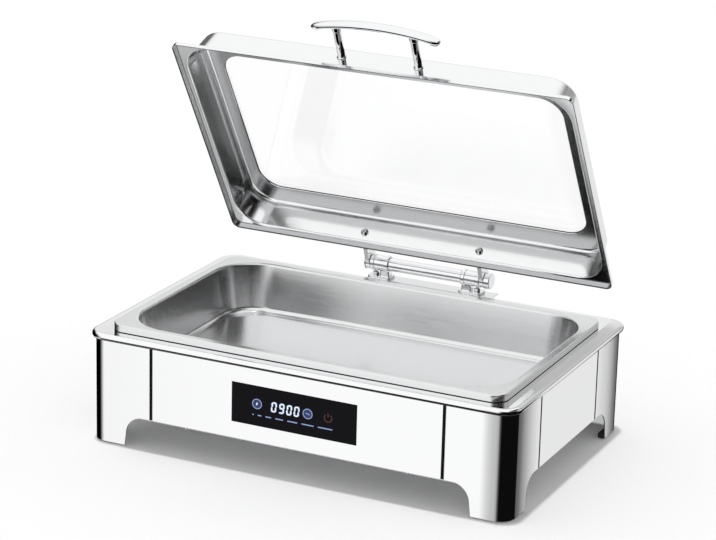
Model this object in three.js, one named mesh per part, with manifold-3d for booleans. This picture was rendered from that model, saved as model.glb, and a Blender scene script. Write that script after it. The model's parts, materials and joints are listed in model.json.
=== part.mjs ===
// Electric chafing dish, full size 1/1 pan, with a lid on a damped hinge. Millimetres, +Z up.
// The front faces -Y. The lid stands open at its resting angle.
import * as THREE from 'three';
import { mergeVertices } from 'three/addons/utils/BufferGeometryUtils.js';
import Module from 'manifold-3d';

const wasm = await Module();
wasm.setup();

// Fits shared by every piece
const restGap = 0.3; // air between two pieces that rest on each other
const cutOverrun = 2; // how far a cutting shape runs past what it cuts
const sealOverlap = 0.5; // how far the gasket shows past the steel edge
const cornerSteps = 6; // facets on each rounded corner of a frame, pan or lid
const roundSides = 20; // facets on a round piece
const smallSides = 12; // facets on a screw
const hexSides = 6; // facets on a hexagon head
const mergeTolerance = 1e-4; // points closer than this are one point
const holeClear = 0.3; // hole radius past a screw's radius
const screwChamferShare = 0.35; // chamfer of a screw's head, as a share of its height

// Pans: the food pan has the standard 530 by 325 rim, and hangs in the water pan
const foodPan = {
  width: 530,
  depth: 325,
  cornerRadius: 18,
  lip: 8.6,
  sheet: 0.9,
  brim: 12, // flat rim round the opening
  openRadius: 58,
  wallLean: 9, // the opening is this much wider than the floor, on each wall
  floorRadius: 50,
  deep: 65,
  floorFillet: 10,
  brimFillet: 2,
};
foodPan.openWidth = foodPan.width - 2 * foodPan.brim;
foodPan.openDepth = foodPan.depth - 2 * foodPan.brim;
foodPan.floorWidth = foodPan.openWidth - 2 * foodPan.wallLean;
foodPan.floorDepth = foodPan.openDepth - 2 * foodPan.wallLean;
const waterPan = {
  flangeInset: 1.1, // rim of the water pan inside the collar's outer face
  cornerRadius: 17,
  lip: 0,
  sheet: 0.8,
  waterGap: 5, // water between the walls of the two pans, at the rim
  waterRoom: 23.4, // water under the food pan
  cornerGap: 4, // corner radius past the food pan's
  wallLean: 10,
  floorFillet: 10,
  brimFillet: 1.5,
};
waterPan.openWidth = foodPan.openWidth + 2 * waterPan.waterGap;
waterPan.openDepth = foodPan.openDepth + 2 * waterPan.waterGap;
waterPan.openRadius = foodPan.openRadius + waterPan.cornerGap;
waterPan.floorWidth = waterPan.openWidth - 2 * waterPan.wallLean;
waterPan.floorDepth = waterPan.openDepth - 2 * waterPan.wallLean;
waterPan.floorRadius = waterPan.openRadius - waterPan.wallLean;
waterPan.deep = foodPan.deep - restGap - foodPan.sheet + waterPan.waterRoom + waterPan.sheet;

// Top frame: rolled rim, gutter and the raised collar that carries both pans
const frame = {
  sheet: 1,
  rimRadius: 4.5, // roll of the rim, measured on its outside
  rimReach: 0.5, // centre of the roll past the casing's face
  innerLip: 5, // lower lip of the rim that sits on the panels
  gutterAcross: 19, // casing's face past the food pan's rim, left and right
  gutterFront: 13.5,
  gutterRear: 27.5,
  gutterDrop: 0.6, // gutter below the top of the roll
  collarHeight: 7.2, // collar above the gutter
  collarChannel: 4.2, // width across the top of the collar
  collarInnerLip: 6,
  fold: 1, // bend radius of the sheet
  collarCornerRadius: 17,
};
const rollSteps = 6; // facets round the rim's roll
const panShift = (frame.gutterFront - frame.gutterRear) / 2; // pans and lid sit towards the front

// Casing: four corner posts that run down as legs, and four panels between them
const casing = {
  width: foodPan.width + 2 * frame.gutterAcross,
  depth: foodPan.depth + frame.gutterFront + frame.gutterRear,
  cornerRadius: 20,
  postRunFront: 86.5, // post face seen from the front, corner to seam
  postRunSide: 90, // post face seen from the side
  postSheet: 1.5,
  panelSheet: 1.2,
  panelBottom: 41, // height of the panels' lower edge above the floor
  seam: 1.5, // open joint between a post and a panel
  returnDepth: 10, // sheet folded inwards at each seam
  lowerReturn: 14, // sheet folded inwards under each panel
  legWidth: 49, // leg at the floor
  legTaper: 2, // the leg is this much wider where its arch begins
  archRadius: 24,
  footProud: 1.5, // rubber below the metal
};
const foot = {
  width: 9, // rubber strip along the inside of a leg's side face
  height: 6,
  setBack: 0.5, // from the leg's free edge
  endRadius: 3, // its two inner corners
};
const basePlate = { sheet: 1.2, setBack: 0.4 };
const baseScrew = {
  shankRadius: 1.75,
  holeRadius: 2.1,
  headRadius: 3.6,
  headHeight: 2,
  length: 8,
  fromSeam: 46.75,
};

// Lid: drawn shell with a stepped top and a glass window, a little larger than the food pan's rim
const lid = {
  overWidth: 6, // flange past the food pan's rim, left and right
  overDepth: 5.5, // the same, front and rear
  cornerRadius: 10,
  lip: 5, // flange turned down
  sheet: 1,
  flangeAcross: 10, // flange outside the wall, left and right
  flangeAlong: 7, // the same, front and rear
  wellRadius: 40,
  draft: 5, // the wall leans in this much over its height
  height: 42, // from the flange's underside to the top
  topRound: 6,
  wallFillet: 2,
  shoulderAcross: 15.5, // foot of the wall to the recess in the top, left and right
  shoulderAlong: 16,
  recessRadius: 32,
  recessDrop: 5.6,
  ledgeAcross: 13, // recess outside the window, left and right
  ledgeAlong: 25,
  windowRadius: 30,
};
lid.width = foodPan.width + 2 * lid.overWidth;
lid.depth = foodPan.depth + 2 * lid.overDepth;
lid.wellWidth = lid.width - 2 * lid.flangeAcross; // outside of the wall where it leaves the flange
lid.wellDepth = lid.depth - 2 * lid.flangeAlong;
lid.recessWidth = lid.wellWidth - 2 * lid.shoulderAcross;
lid.recessDepth = lid.wellDepth - 2 * lid.shoulderAlong;
lid.windowWidth = lid.recessWidth - 2 * lid.ledgeAcross;
lid.windowDepth = lid.recessDepth - 2 * lid.ledgeAlong;
const glass = { thickness: 4 };
const gasket = { base: 1, side: 1.8 };
const lidRestAngle = 58.5; // degrees open, as it stands

// Handle on the lid's front wall
const handle = {
  spacing: 104, // between the two posts
  fromMiddle: 6.5, // to the right of the lid's middle
  wallHeight: 22.5, // posts above the flange
  postRadius: 5,
  postLength: 39,
  collarRadius: 6,
  collarHeight: 1.8,
  spigotRadius: 2.6,
  spigotLength: 3,
  gripLength: 174,
  gripWidth: 13.5,
  gripEndWidth: 12.5,
  gripThickness: 8,
  gripEndThickness: 7,
  gripRise: 10,
  gripHook: 4, // thickening of each tip towards the lid
  hookFromTip: 6,
  hookReach: 15,
  bossRadius: 5.8,
  bossHeight: 5,
  boreRadius: 2.8,
  boreDepth: 14,
  screwRadius: 2.4,
  screwReach: 12,
  screwHeadRadius: 4.8,
  screwHeadHeight: 2.4,
};
const gripStations = 20;
const gripSides = 12;
const grip = {
  tipShare: 0.12, // square of the tip's fullness
  fullnessPower: 16, // how late along the grip its ends begin to close
  squareShare: 0.75, // under 1 makes the section squarer than an ellipse
};

// Hinge behind the rim: bracket, two saddles, damper tube, shaft and the lid's two arms
const hinge = {
  axisBehindRim: 12,
  axisRise: 19.2, // above the bracket's plate
  bracketPastCap: 5, // bracket past the right end cap
  bracketPastFoot: 0.8, // bracket past the left saddle's foot
  bracketSheet: 2,
  bracketLegDrop: 6, // the bracket steps out this far below the rim
  bracketLegLength: 33,
  bracketClear: 0.6, // air between the rim's roll and the bracket
  bracketDrop: 2.2, // plate below the top of the rim
  bracketReach: 24, // plate behind the rim
  bracketScrewFromMiddle: 60,
  tubeRadius: 9,
  tubeWall: 1.4,
  tubeHalf: 78.2,
  collarRadius: 10.8,
  collarLength: 26.5,
  neckWidth: 13,
  neckDepth: 11,
  footLength: 32,
  footDepth: 21,
  footHeight: 3,
  footBoltSide: 8.5, // bolt from the foot's outer end
  footBoltRadius: 2.4,
  footBoltHead: 4.4,
  footBoltHeadHeight: 3.2,
  footBoltLength: 9,
  shaftRadius: 5,
  armThickness: 5.8,
  armRadius: 10,
  padWidth: 20,
  padLow: 8, // pad on the lid's rear wall, above the flange
  padHigh: 33,
  padThickness: 10,
  capLength: 8.1, // right cap, which holds the end of the shaft
  capFloor: 3, // closed end of that cap
  discLength: 1.6, // left cap, a disc over the end of the shaft
  capRadius: 10.8,
  capCrown: 1.2,
  discCrown: 0.6,
  boltInset: 2.6, // lid bolt inside the arm's outer face
  boltHeight: 14.5, // above the lid's flange
  boltRadius: 3,
  boltReach: 10,
  boltHeadRadius: 5,
  boltHeadHeight: 3.2,
};
hinge.collarOuter = hinge.tubeHalf + restGap; // each of these is measured from the middle
hinge.collarInner = hinge.collarOuter - hinge.collarLength;
hinge.armInner = hinge.collarOuter + restGap;
hinge.armOuter = hinge.armInner + hinge.armThickness;
hinge.capOuter = hinge.armOuter + restGap + hinge.capLength;
hinge.shaftRight = hinge.capOuter - hinge.capFloor;
hinge.shaftLeft = hinge.armOuter;
hinge.boltFromMiddle = hinge.armOuter - hinge.boltInset;
hinge.bracketRight = hinge.capOuter + hinge.bracketPastCap;
const bracketScrew = { radius: 2.4, headRadius: 4.6, headHeight: 2.6, length: 9 };
const armWebShares = { back: 0.6, low: 0.8, crownBack: 0.25, crown: 0.965 }; // of the arm's radius

// Heater stack under the water pan
const heater = {
  endMargin: 67, // water pan's floor past the spreader, left and right
  frontMargin: 54.5,
  spreaderThickness: 3,
  spreaderRadius: 12,
  trayOver: 4, // tray past the spreader, all round
  trayHeight: 9.4,
  traySheet: 0.8,
  trayRadius: 14,
  tubeRadius: 3.3,
  runs: 6,
  runMargin: 45, // tray's end to the middle of the first run
  bendMargin: 12, // tray's front to the middle of the bends
  tailReach: 12, // tails past the tray's rear wall
  notchHeight: 1.2,
};
heater.spreaderWidth = waterPan.floorWidth - 2 * heater.endMargin;
heater.spreaderDepth = waterPan.floorDepth - 2 * heater.frontMargin;
heater.trayWidth = heater.spreaderWidth + 2 * heater.trayOver;
heater.trayDepth = heater.spreaderDepth + 2 * heater.trayOver;
heater.runSpacing = (heater.trayWidth - 2 * heater.runMargin) / (heater.runs - 1);
heater.runLength = heater.trayDepth - heater.runSpacing - 2 * heater.bendMargin; // straight part
const bendHandleShare = 4 / 3; // handle of a half circle drawn as one cubic curve, as a share of its radius
const elementSteps = 90;
const elementSides = 4; // curve segments of the tube's section
const cutout = { radius: 7, place: 1 }; // place counts runs from the middle
const probe = { width: 9, depth: 7, place: -1 };

// Electrics
const control = {
  glassWidth: 168,
  glassHeight: 51,
  glassThickness: 2.5,
  glassProud: 0.6,
  centreRise: 47, // middle of the glass above the panel's lower edge
  aperClear: 0.4,
  wall: 2,
  housingDepth: 15.5,
  housingMargin: 4,
  ledge: 2,
  boardThickness: 1.6,
  boardSetBack: 5.9, // board behind the housing's mouth
  boardMargin: 2,
  displayWidth: 62,
  displayHeight: 22,
  displayShift: -16,
  bossRadius: 3,
};
const power = {
  boardWidth: 66,
  boardDepth: 92,
  boardThickness: 1.6,
  standoff: 4,
  standoffRadius: 3,
  fromEnd: 52, // board's middle inside the casing's right face
  fromFront: 125,
  relay: [19, 15.5, 13], // width, depth and height, as for the next two
  relayPlace: [-18, -28], // from the board's middle
  transformer: [28, 24, 13.4],
  transformerPlace: [14, 24],
  terminal: [20, 34, 11],
  terminalPlace: [-18, 22],
};
const terminalWays = 3;
const terminalWellShare = 0.25; // radius of a wire's well, as a share of its way
const insulation = { overWidth: 1, overDepth: 5, thickness: 9.4 }; // past the tray
insulation.width = heater.trayWidth + 2 * insulation.overWidth;
insulation.depth = heater.trayDepth + 2 * insulation.overDepth;
const inlet = {
  fromSeam: 46.75,
  rise: 33, // middle of the inlet above the panel's lower edge
  flangeWidth: 33,
  flangeHeight: 26,
  flangeThickness: 2.6,
  bodyWidth: 27,
  bodyHeight: 20,
  bodyDepth: 17,
  socketWidth: 23.4,
  socketHeight: 16.4,
  socketDepth: 15,
  pin: [2, 4], // width and height of one contact
  pinLength: 11,
  pinSpacing: 7,
  earthRise: 3.2,
};

// Levels, from the base plate up through the heater stack and the pans to the lid
const half = { x: casing.width / 2, y: casing.depth / 2 };
const baseTop = casing.panelBottom - restGap;
const baseBottom = baseTop - basePlate.sheet;
const insulationTop = baseTop + restGap + insulation.thickness;
const trayBottom = insulationTop + restGap;
const trayFloor = trayBottom + heater.traySheet;
const trayTop = trayBottom + heater.trayHeight;
const spreaderBottom = trayTop + restGap;
const spreaderTop = spreaderBottom + heater.spreaderThickness;
const waterPanTop = spreaderTop + restGap + waterPan.deep;
const foodPanTop = waterPanTop + restGap + foodPan.sheet;
const lidSeat = foodPanTop + restGap;
const collarTop = waterPanTop - waterPan.sheet - restGap;
const gutterTop = collarTop - frame.collarHeight;
const rimTop = gutterTop + frame.gutterDrop;
const rimAxis = rimTop - frame.rimRadius;
const rimBottom = rimAxis - frame.rimRadius;
casing.panelTop = rimBottom - restGap;

// Places worked out from the sizes above
const collarHalf = {
  x: foodPan.width / 2 - foodPan.sheet - restGap,
  y: foodPan.depth / 2 - foodPan.sheet - restGap,
};
const rimOuter = half.y + frame.rimReach + frame.rimRadius;
const bracketStart = rimOuter + hinge.bracketClear;
const bracketEnd = bracketStart + hinge.bracketReach;
const middleShift = (rimOuter - bracketEnd) / 2; // puts the middle of the whole object at y = 0
hinge.bracketTop = rimTop - hinge.bracketDrop;
hinge.bracketLegTop = rimBottom - hinge.bracketLegDrop;
hinge.bracketLegBottom = hinge.bracketLegTop - hinge.bracketLegLength;
hinge.axisY = rimOuter + hinge.axisBehindRim;
hinge.axisZ = hinge.bracketTop + hinge.axisRise;
bracketScrew.height = (hinge.bracketLegTop + hinge.bracketLegBottom) / 2;
const panelWidthFront = casing.width - 2 * casing.postRunFront - casing.seam;
const panelWidthSide = casing.depth - 2 * casing.postRunSide - casing.seam;
baseScrew.fromMiddle = panelWidthFront / 2 - baseScrew.fromSeam;
inlet.fromMiddle = panelWidthFront / 2 - inlet.fromSeam;
inlet.height = casing.panelBottom + inlet.rise;
control.centreHeight = casing.panelBottom + control.centreRise;
power.centreX = half.x - power.fromEnd;
power.centreY = power.fromFront - half.y;
const footStart = (hinge.collarInner + hinge.collarOuter - hinge.footLength) / 2;
const footBoltX = footStart + hinge.footLength - hinge.footBoltSide;
const footSeat = hinge.bracketTop + restGap;

// Materials
const paint = (color, roughness, metalness) =>
  new THREE.MeshStandardMaterial({ color, roughness, metalness });
const mirrorSteel = paint(0xdfe1e4, 0.06, 1);
const satinSteel = paint(0xc6c8cb, 0.32, 1);
const chrome = paint(0xe8eaee, 0.04, 1);
const zincSteel = paint(0xb9bcc0, 0.4, 1);
const aluminium = paint(0xc9ccd0, 0.45, 1);
const blackGlass = paint(0x050506, 0.05, 0);
const clearGlass = paint(0xdfeaf0, 0.02, 0);
const blackRubber = paint(0x141414, 0.8, 0);
const blackPlastic = paint(0x1b1c1e, 0.5, 0);
const whiteFibre = paint(0xe6e2d8, 0.95, 0);
const boardGreen = paint(0x1f5a35, 0.5, 0);
const relayBlue = paint(0x2a4f9c, 0.4, 0);

// Turns a closed geometry into indexed vertices with no flat triangles, wound outwards
function tidy(geometry) {
  const bare = geometry.clone();
  bare.deleteAttribute('normal');
  bare.deleteAttribute('uv');
  const merged = mergeVertices(bare, mergeTolerance);
  const index = Array.from(merged.index.array);
  const kept = [];
  for (let i = 0; i < index.length; i += 3) {
    const [a, b, c] = index.slice(i, i + 3);
    if (a !== b && b !== c && c !== a) kept.push(a, b, c);
  }
  const at = merged.attributes.position;
  const corner = (i) => new THREE.Vector3().fromBufferAttribute(at, i);
  let volume = 0;
  for (let i = 0; i < kept.length; i += 3) {
    volume += corner(kept[i]).dot(corner(kept[i + 1]).cross(corner(kept[i + 2])));
  }
  if (volume < 0) kept.reverse();
  merged.setIndex(kept);
  return merged;
}

function toSolid(geometry) {
  const closed = tidy(geometry);
  const vertProperties = Float32Array.from(closed.attributes.position.array);
  const triVerts = Uint32Array.from(closed.index.array);
  return new wasm.Manifold(new wasm.Mesh({ numProp: 3, vertProperties, triVerts }));
}

function fromSolid(solid) {
  const { vertProperties, triVerts } = solid.getMesh();
  const geometry = new THREE.BufferGeometry();
  geometry.setAttribute('position', new THREE.BufferAttribute(new Float32Array(vertProperties), 3));
  geometry.setIndex(Array.from(triVerts));
  return geometry;
}

// Joins the first geometry with the others, or cuts the others out of it
const join = (first, ...others) =>
  fromSolid(others.reduce((sum, next) => sum.add(toSolid(next)), toSolid(first)));
const cut = (first, ...others) =>
  fromSolid(others.reduce((sum, next) => sum.subtract(toSolid(next)), toSolid(first)));

function piece(name, geometry, material) {
  const mesh = new THREE.Mesh(tidy(geometry), material);
  mesh.name = name;
  return mesh;
}

// Simple solids. A box is centred on x and y and stands on z = 0
const box = (x, y, z) => new THREE.BoxGeometry(x, y, z).translate(0, 0, z / 2);
const rod = (radius, length, sides = roundSides) =>
  new THREE.CylinderGeometry(radius, radius, length, sides).rotateX(Math.PI / 2).translate(0, 0, length / 2);
const alongX = (geometry) => geometry.rotateY(Math.PI / 2);
const alongY = (geometry) => geometry.rotateX(-Math.PI / 2);
const turned = (outline, sides = roundSides) =>
  new THREE.LatheGeometry(outline.map(([r, z]) => new THREE.Vector2(r, z)), sides).rotateX(Math.PI / 2);
const extrude = (shape, depth, curveSegments = cornerSteps) =>
  new THREE.ExtrudeGeometry(shape, { depth, bevelEnabled: false, curveSegments });
const polygon = (points) => new THREE.Shape(points.map(([x, y]) => new THREE.Vector2(x, y)));

// A polygon in the Y-Z plane, pushed out along X from one value to another
function slabAlongX(points, from, to) {
  const flat = extrude(polygon(points.map(([y, z]) => [y, z])), to - from);
  flat.rotateY(Math.PI / 2).rotateX(Math.PI / 2);
  return flat.translate(from, 0, 0);
}

// A polygon in the X-Z plane, pushed out along Y from one value to another
function slabAlongY(points, from, to) {
  const flat = extrude(polygon(points), to - from);
  flat.rotateX(Math.PI / 2);
  return flat.translate(0, to, 0);
}

// Rounded rectangle at one height, the same number of points whatever its size
function ring({ x, y, radius, z, shift = 0 }) {
  const points = [];
  const quarter = Math.PI / 2;
  const centres = [[1, 1], [-1, 1], [-1, -1], [1, -1]];
  centres.forEach(([sx, sy], turn) => {
    for (let step = 0; step <= cornerSteps; step++) {
      const angle = quarter * (turn + step / cornerSteps);
      const px = sx * (x - radius) + radius * Math.cos(angle);
      const py = sy * (y - radius) + radius * Math.sin(angle) + shift;
      points.push(new THREE.Vector3(px, py, z));
    }
  });
  return points;
}

// Skin through a row of rings: either back to the first ring, or capped at both ends
function loft(rings, closed) {
  const count = rings[0].length;
  const position = rings.flat().flatMap((p) => [p.x, p.y, p.z]);
  const index = [];
  const last = closed ? rings.length : rings.length - 1;
  for (let row = 0; row < last; row++) {
    const next = (row + 1) % rings.length;
    for (let i = 0; i < count; i++) {
      const j = (i + 1) % count;
      const [a, b, c, d] = [row * count + i, row * count + j, next * count + j, next * count + i];
      index.push(a, b, c, a, c, d);
    }
  }
  if (!closed) {
    for (const row of [0, rings.length - 1]) {
      const middle = rings[row].reduce((sum, p) => sum.add(p), new THREE.Vector3()).divideScalar(count);
      const hub = position.length / 3;
      position.push(middle.x, middle.y, middle.z);
      for (let i = 0; i < count; i++) {
        const [a, b] = [row * count + i, row * count + (i + 1) % count];
        index.push(...(row === 0 ? [hub, b, a] : [hub, a, b]));
      }
    }
  }
  const geometry = new THREE.BufferGeometry();
  geometry.setAttribute('position', new THREE.Float32BufferAttribute(position, 3));
  geometry.setIndex(index);
  return geometry;
}

// A plate with rounded corners, standing on z = 0
function plate(width, depth, radius, thickness) {
  const low = { x: width / 2, y: depth / 2, radius, z: 0 };
  return loft([ring(low), ring({ ...low, z: thickness })], false);
}

// A pan drawn from one sheet: floor, wall, flat rim and, if it has one, a turned-down lip
function drawnPan(pan, top, rimHalf) {
  const { sheet, floorFillet, brimFillet, lip } = pan;
  const open = { x: pan.openWidth / 2, y: pan.openDepth / 2, radius: pan.openRadius };
  const floor = { x: pan.floorWidth / 2, y: pan.floorDepth / 2, radius: pan.floorRadius };
  const bottom = top - pan.deep;
  const at = (base, offset, z) =>
    ring({ x: base.x + offset, y: base.y + offset, radius: base.radius + offset, z, shift: panShift });
  const rim = { ...rimHalf, radius: pan.cornerRadius };
  const bend = floorFillet * (1 - Math.SQRT1_2);
  const rings = [
    at(floor, -floorFillet, bottom),
    at(floor, -bend, bottom + bend),
    at(floor, 0, bottom + floorFillet),
    at(open, sheet, top - sheet - brimFillet),
    at(open, sheet + brimFillet, top - sheet),
    at(rim, -sheet, top - sheet),
  ];
  if (lip > 0) rings.push(at(rim, -sheet, top - lip), at(rim, 0, top - lip));
  else rings.push(at(rim, 0, top - sheet));
  rings.push(
    at(rim, 0, top - sheet / 2),
    at(rim, -sheet / 2, top),
    at(open, brimFillet, top),
    at(open, 0, top - brimFillet),
    at(floor, -sheet, bottom + floorFillet),
    at(floor, -sheet - bend, bottom + sheet + bend),
    at(floor, -floorFillet, bottom + sheet),
  );
  return loft(rings, false);
}

// Corner post for the quadrant given by two signs: rounded angle sheet with an arch on each face
function cornerPost(signX, signY) {
  const { postSheet: t, returnDepth, cornerRadius: r, postRunFront, postRunSide, archRadius } = casing;
  const [w, d] = [half.x, half.y];
  const [seamX, seamY] = [w - postRunFront + casing.seam / 2, d - postRunSide + casing.seam / 2];
  const plan = new THREE.Shape();
  plan.moveTo(w, seamY);
  plan.lineTo(w, d - r);
  plan.absarc(w - r, d - r, r, 0, Math.PI / 2, false);
  plan.lineTo(seamX, d);
  plan.lineTo(seamX, d - returnDepth);
  plan.lineTo(seamX + t, d - returnDepth);
  plan.lineTo(seamX + t, d - t);
  plan.lineTo(w - r, d - t);
  plan.absarc(w - r, d - r, r - t, Math.PI / 2, 0, true);
  plan.lineTo(w - t, seamY + t);
  plan.lineTo(w - returnDepth, seamY + t);
  plan.lineTo(w - returnDepth, seamY);
  const height = casing.panelTop - casing.footProud;
  const sheet = extrude(plan, height).translate(0, 0, casing.footProud);
  const arch = (edge, seam) => {
    const centre = [edge - casing.legWidth - casing.legTaper - archRadius, casing.panelBottom - archRadius];
    const points = [[seam - cutOverrun, -cutOverrun], [seam - cutOverrun, casing.panelBottom]];
    for (let step = 0; step <= cornerSteps; step++) {
      const angle = (Math.PI / 2) * (1 - step / cornerSteps);
      points.push([centre[0] + archRadius * Math.cos(angle), centre[1] + archRadius * Math.sin(angle)]);
    }
    points.push([edge - casing.legWidth, casing.footProud], [edge - casing.legWidth, -cutOverrun]);
    return points;
  };
  const frontArch = slabAlongY(arch(w, seamX), d - returnDepth - cutOverrun, d + cutOverrun);
  const sideArch = slabAlongX(arch(d, seamY), w - returnDepth - cutOverrun, w + cutOverrun);
  return cut(sheet, frontArch, sideArch).scale(signX, signY, 1);
}

// Rubber foot: a strip from the leg's free edge to its rounded corner
function rubberFoot(signX, signY) {
  const outer = half.x - casing.postSheet - restGap;
  const inner = outer - foot.width;
  const [start, end] = [half.y - casing.legWidth + foot.setBack, half.y - casing.cornerRadius];
  const r = foot.endRadius;
  const plan = new THREE.Shape();
  plan.moveTo(outer, start);
  plan.lineTo(outer, end);
  plan.absarc(inner + r, end - r, r, Math.PI / 2, Math.PI, false);
  plan.absarc(inner + r, start + r, r, Math.PI, (3 * Math.PI) / 2, false);
  return extrude(plan, foot.height).scale(signX, signY, 1);
}

// Panel standing at y = 0 with its face towards -Y, folded in at both seams and along its foot
function panel(width, ...cutters) {
  const { panelSheet: t, returnDepth, lowerReturn } = casing;
  const [w, height] = [width / 2, casing.panelTop - casing.panelBottom];
  const plan = polygon([
    [-w, 0], [w, 0], [w, returnDepth], [w - t, returnDepth],
    [w - t, t], [t - w, t], [t - w, returnDepth], [-w, returnDepth],
  ]);
  const folded = extrude(plan, height);
  const lower = box(width - 2 * t, lowerReturn, t).translate(0, lowerReturn / 2, 0);
  return cut(join(folded, lower), ...cutters);
}

// Distance of the base screws behind a panel's face
const screwRow = baseScrew.headRadius + casing.panelSheet + baseScrew.headHeight;
const baseScrewHole = () => rod(baseScrew.holeRadius, 2 * cutOverrun + casing.panelSheet, smallSides);
const lowerHoles = () =>
  [-1, 1].map((side) => baseScrewHole().translate(side * baseScrew.fromMiddle, screwRow, -cutOverrun));

// Front panel with the aperture for the control glass
function frontPanel() {
  const { glassWidth, glassHeight, aperClear } = control;
  const through = 2 * cutOverrun + casing.panelSheet;
  const aperture = box(glassWidth + 2 * aperClear, through, glassHeight + 2 * aperClear);
  const low = control.centreHeight - glassHeight / 2 - aperClear - casing.panelBottom;
  return panel(panelWidthFront, aperture.translate(0, 0, low), ...lowerHoles());
}

// Rear panel with the inlet's cut-out and the bracket's two screw holes
function rearPanel() {
  const through = 2 * cutOverrun + casing.panelSheet;
  const socket = box(inlet.bodyWidth + 2 * restGap, through, inlet.bodyHeight + 2 * restGap);
  socket.translate(-inlet.fromMiddle, 0, inlet.height - inlet.bodyHeight / 2 - restGap - casing.panelBottom);
  const holes = [-1, 1].map((side) =>
    alongY(rod(bracketScrew.radius + holeClear, through, smallSides))
      .translate(side * hinge.bracketScrewFromMiddle, -cutOverrun, bracketScrew.height - casing.panelBottom));
  return panel(panelWidthFront, socket, ...holes, ...lowerHoles());
}

// Pan head screw: chamfered head and plain shank, head upwards with its seat at z = 0
function screw(radius, headRadius, headHeight, length, sides = smallSides) {
  const chamfer = headHeight * screwChamferShare;
  return turned([
    [0, -length], [radius, -length], [radius, 0], [headRadius, 0],
    [headRadius, headHeight - chamfer], [headRadius - chamfer, headHeight], [0, headHeight],
  ], sides);
}

// Top frame: one folded sheet all round
function topFrame() {
  const { sheet: t, rimRadius, rimReach, fold, collarChannel } = frame;
  const outer = (offset, z) =>
    ring({ x: half.x + offset, y: half.y + offset, radius: casing.cornerRadius + offset, z });
  const collar = (offset, z) =>
    ring({
      x: collarHalf.x + offset, y: collarHalf.y + offset,
      radius: frame.collarCornerRadius + offset, z, shift: panShift,
    });
  const roll = (radius, from, to) => {
    const rings = [];
    for (let step = 0; step <= rollSteps; step++) {
      const angle = from + (to - from) * (step / rollSteps);
      rings.push(outer(rimReach + radius * Math.cos(angle), rimAxis + radius * Math.sin(angle)));
    }
    return rings;
  };
  const quarter = Math.PI / 2;
  const lipEnd = collarTop - frame.collarInnerLip;
  return loft([
    outer(-frame.innerLip, rimBottom),
    ...roll(rimRadius, -quarter, quarter),
    outer(-fold, gutterTop),
    collar(fold, gutterTop),
    collar(0, gutterTop + fold),
    collar(0, collarTop - fold),
    collar(-fold, collarTop),
    collar(fold - collarChannel, collarTop),
    collar(-collarChannel, collarTop - fold),
    collar(-collarChannel, lipEnd),
    collar(t - collarChannel, lipEnd),
    collar(t - collarChannel, collarTop - t),
    collar(-t, collarTop - t),
    collar(-t, gutterTop - t),
    outer(-fold, gutterTop - t),
    ...roll(rimRadius - t, quarter, -quarter),
    outer(-frame.innerLip, rimBottom + t),
  ], true);
}

// Floor of the casing, inside the posts and under the panels
function basePlateSheet() {
  const inset = casing.postSheet + basePlate.setBack;
  const sheet = plate(
    casing.width - 2 * inset, casing.depth - 2 * inset, casing.cornerRadius - inset, basePlate.sheet);
  const reach = half.y - screwRow;
  const holes = [-1, 1].flatMap((side) => [-reach, reach].map((y) =>
    rod(baseScrew.holeRadius, basePlate.sheet + 2 * cutOverrun, smallSides)
      .translate(side * baseScrew.fromMiddle, y, -cutOverrun)));
  return cut(sheet, ...holes);
}

// Lid shell in its own frame: z = 0 is the flange's underside, closed
function lidShell() {
  const { sheet: t, draft, topRound, wallFillet, height } = lid;
  const flange = { x: lid.width / 2, y: lid.depth / 2, radius: lid.cornerRadius };
  const well = { x: lid.wellWidth / 2, y: lid.wellDepth / 2, radius: lid.wellRadius };
  const recess = { x: lid.recessWidth / 2, y: lid.recessDepth / 2, radius: lid.recessRadius };
  const window = { x: lid.windowWidth / 2, y: lid.windowDepth / 2, radius: lid.windowRadius };
  const at = (base, offset, z) =>
    ring({ x: base.x + offset, y: base.y + offset, radius: base.radius + offset, z });
  const bend = topRound * (1 - Math.SQRT1_2);
  const shelf = height - lid.recessDrop;
  const shell = loft([
    at(flange, 0, -lid.lip),
    at(flange, 0, t / 2),
    at(flange, -t / 2, t),
    at(well, wallFillet, t),
    at(well, 0, t + wallFillet),
    at(well, -draft, height - topRound),
    at(well, -draft - bend, height - bend),
    at(well, -draft - topRound, height),
    at(recess, t / 2, height),
    at(recess, 0, height - t / 2),
    at(recess, 0, shelf),
    at(window, 0, shelf),
    at(window, 0, shelf - t),
    at(recess, t, shelf - t),
    at(recess, t, height - t),
    at(well, -draft - topRound, height - t),
    at(well, -draft - t - bend, height - topRound + bend),
    at(well, -draft - t, height - topRound),
    at(well, -t, t + wallFillet),
    at(well, wallFillet - t, 0),
    at(flange, -t, 0),
    at(flange, -t, -lid.lip),
  ], true);
  const through = 2 * cutOverrun + 2 * t;
  const frontHoles = [-1, 1].map((side) => {
    const drill = rod(handle.screwRadius + holeClear, through, smallSides).translate(0, 0, -through / 2);
    return onWall(drill, -1).translate(handle.fromMiddle + side * handle.spacing / 2, 0, handle.wallHeight);
  });
  const rearHoles = [-1, 1].map((side) => {
    const drill = rod(hinge.boltRadius + holeClear, through, smallSides).translate(0, 0, -through / 2);
    return onWall(drill, 1, hinge.boltHeight).translate(side * hinge.boltFromMiddle, 0, hinge.boltHeight);
  });
  return cut(shell, ...frontHoles, ...rearHoles);
}

// Outside of the lid's front or rear wall, from the lid's middle, at a height above the flange
const wallAt = (z) => lid.wellDepth / 2 - lid.draft * (z - lid.sheet - lid.wallFillet)
  / (lid.height - lid.topRound - lid.sheet - lid.wallFillet);

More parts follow.
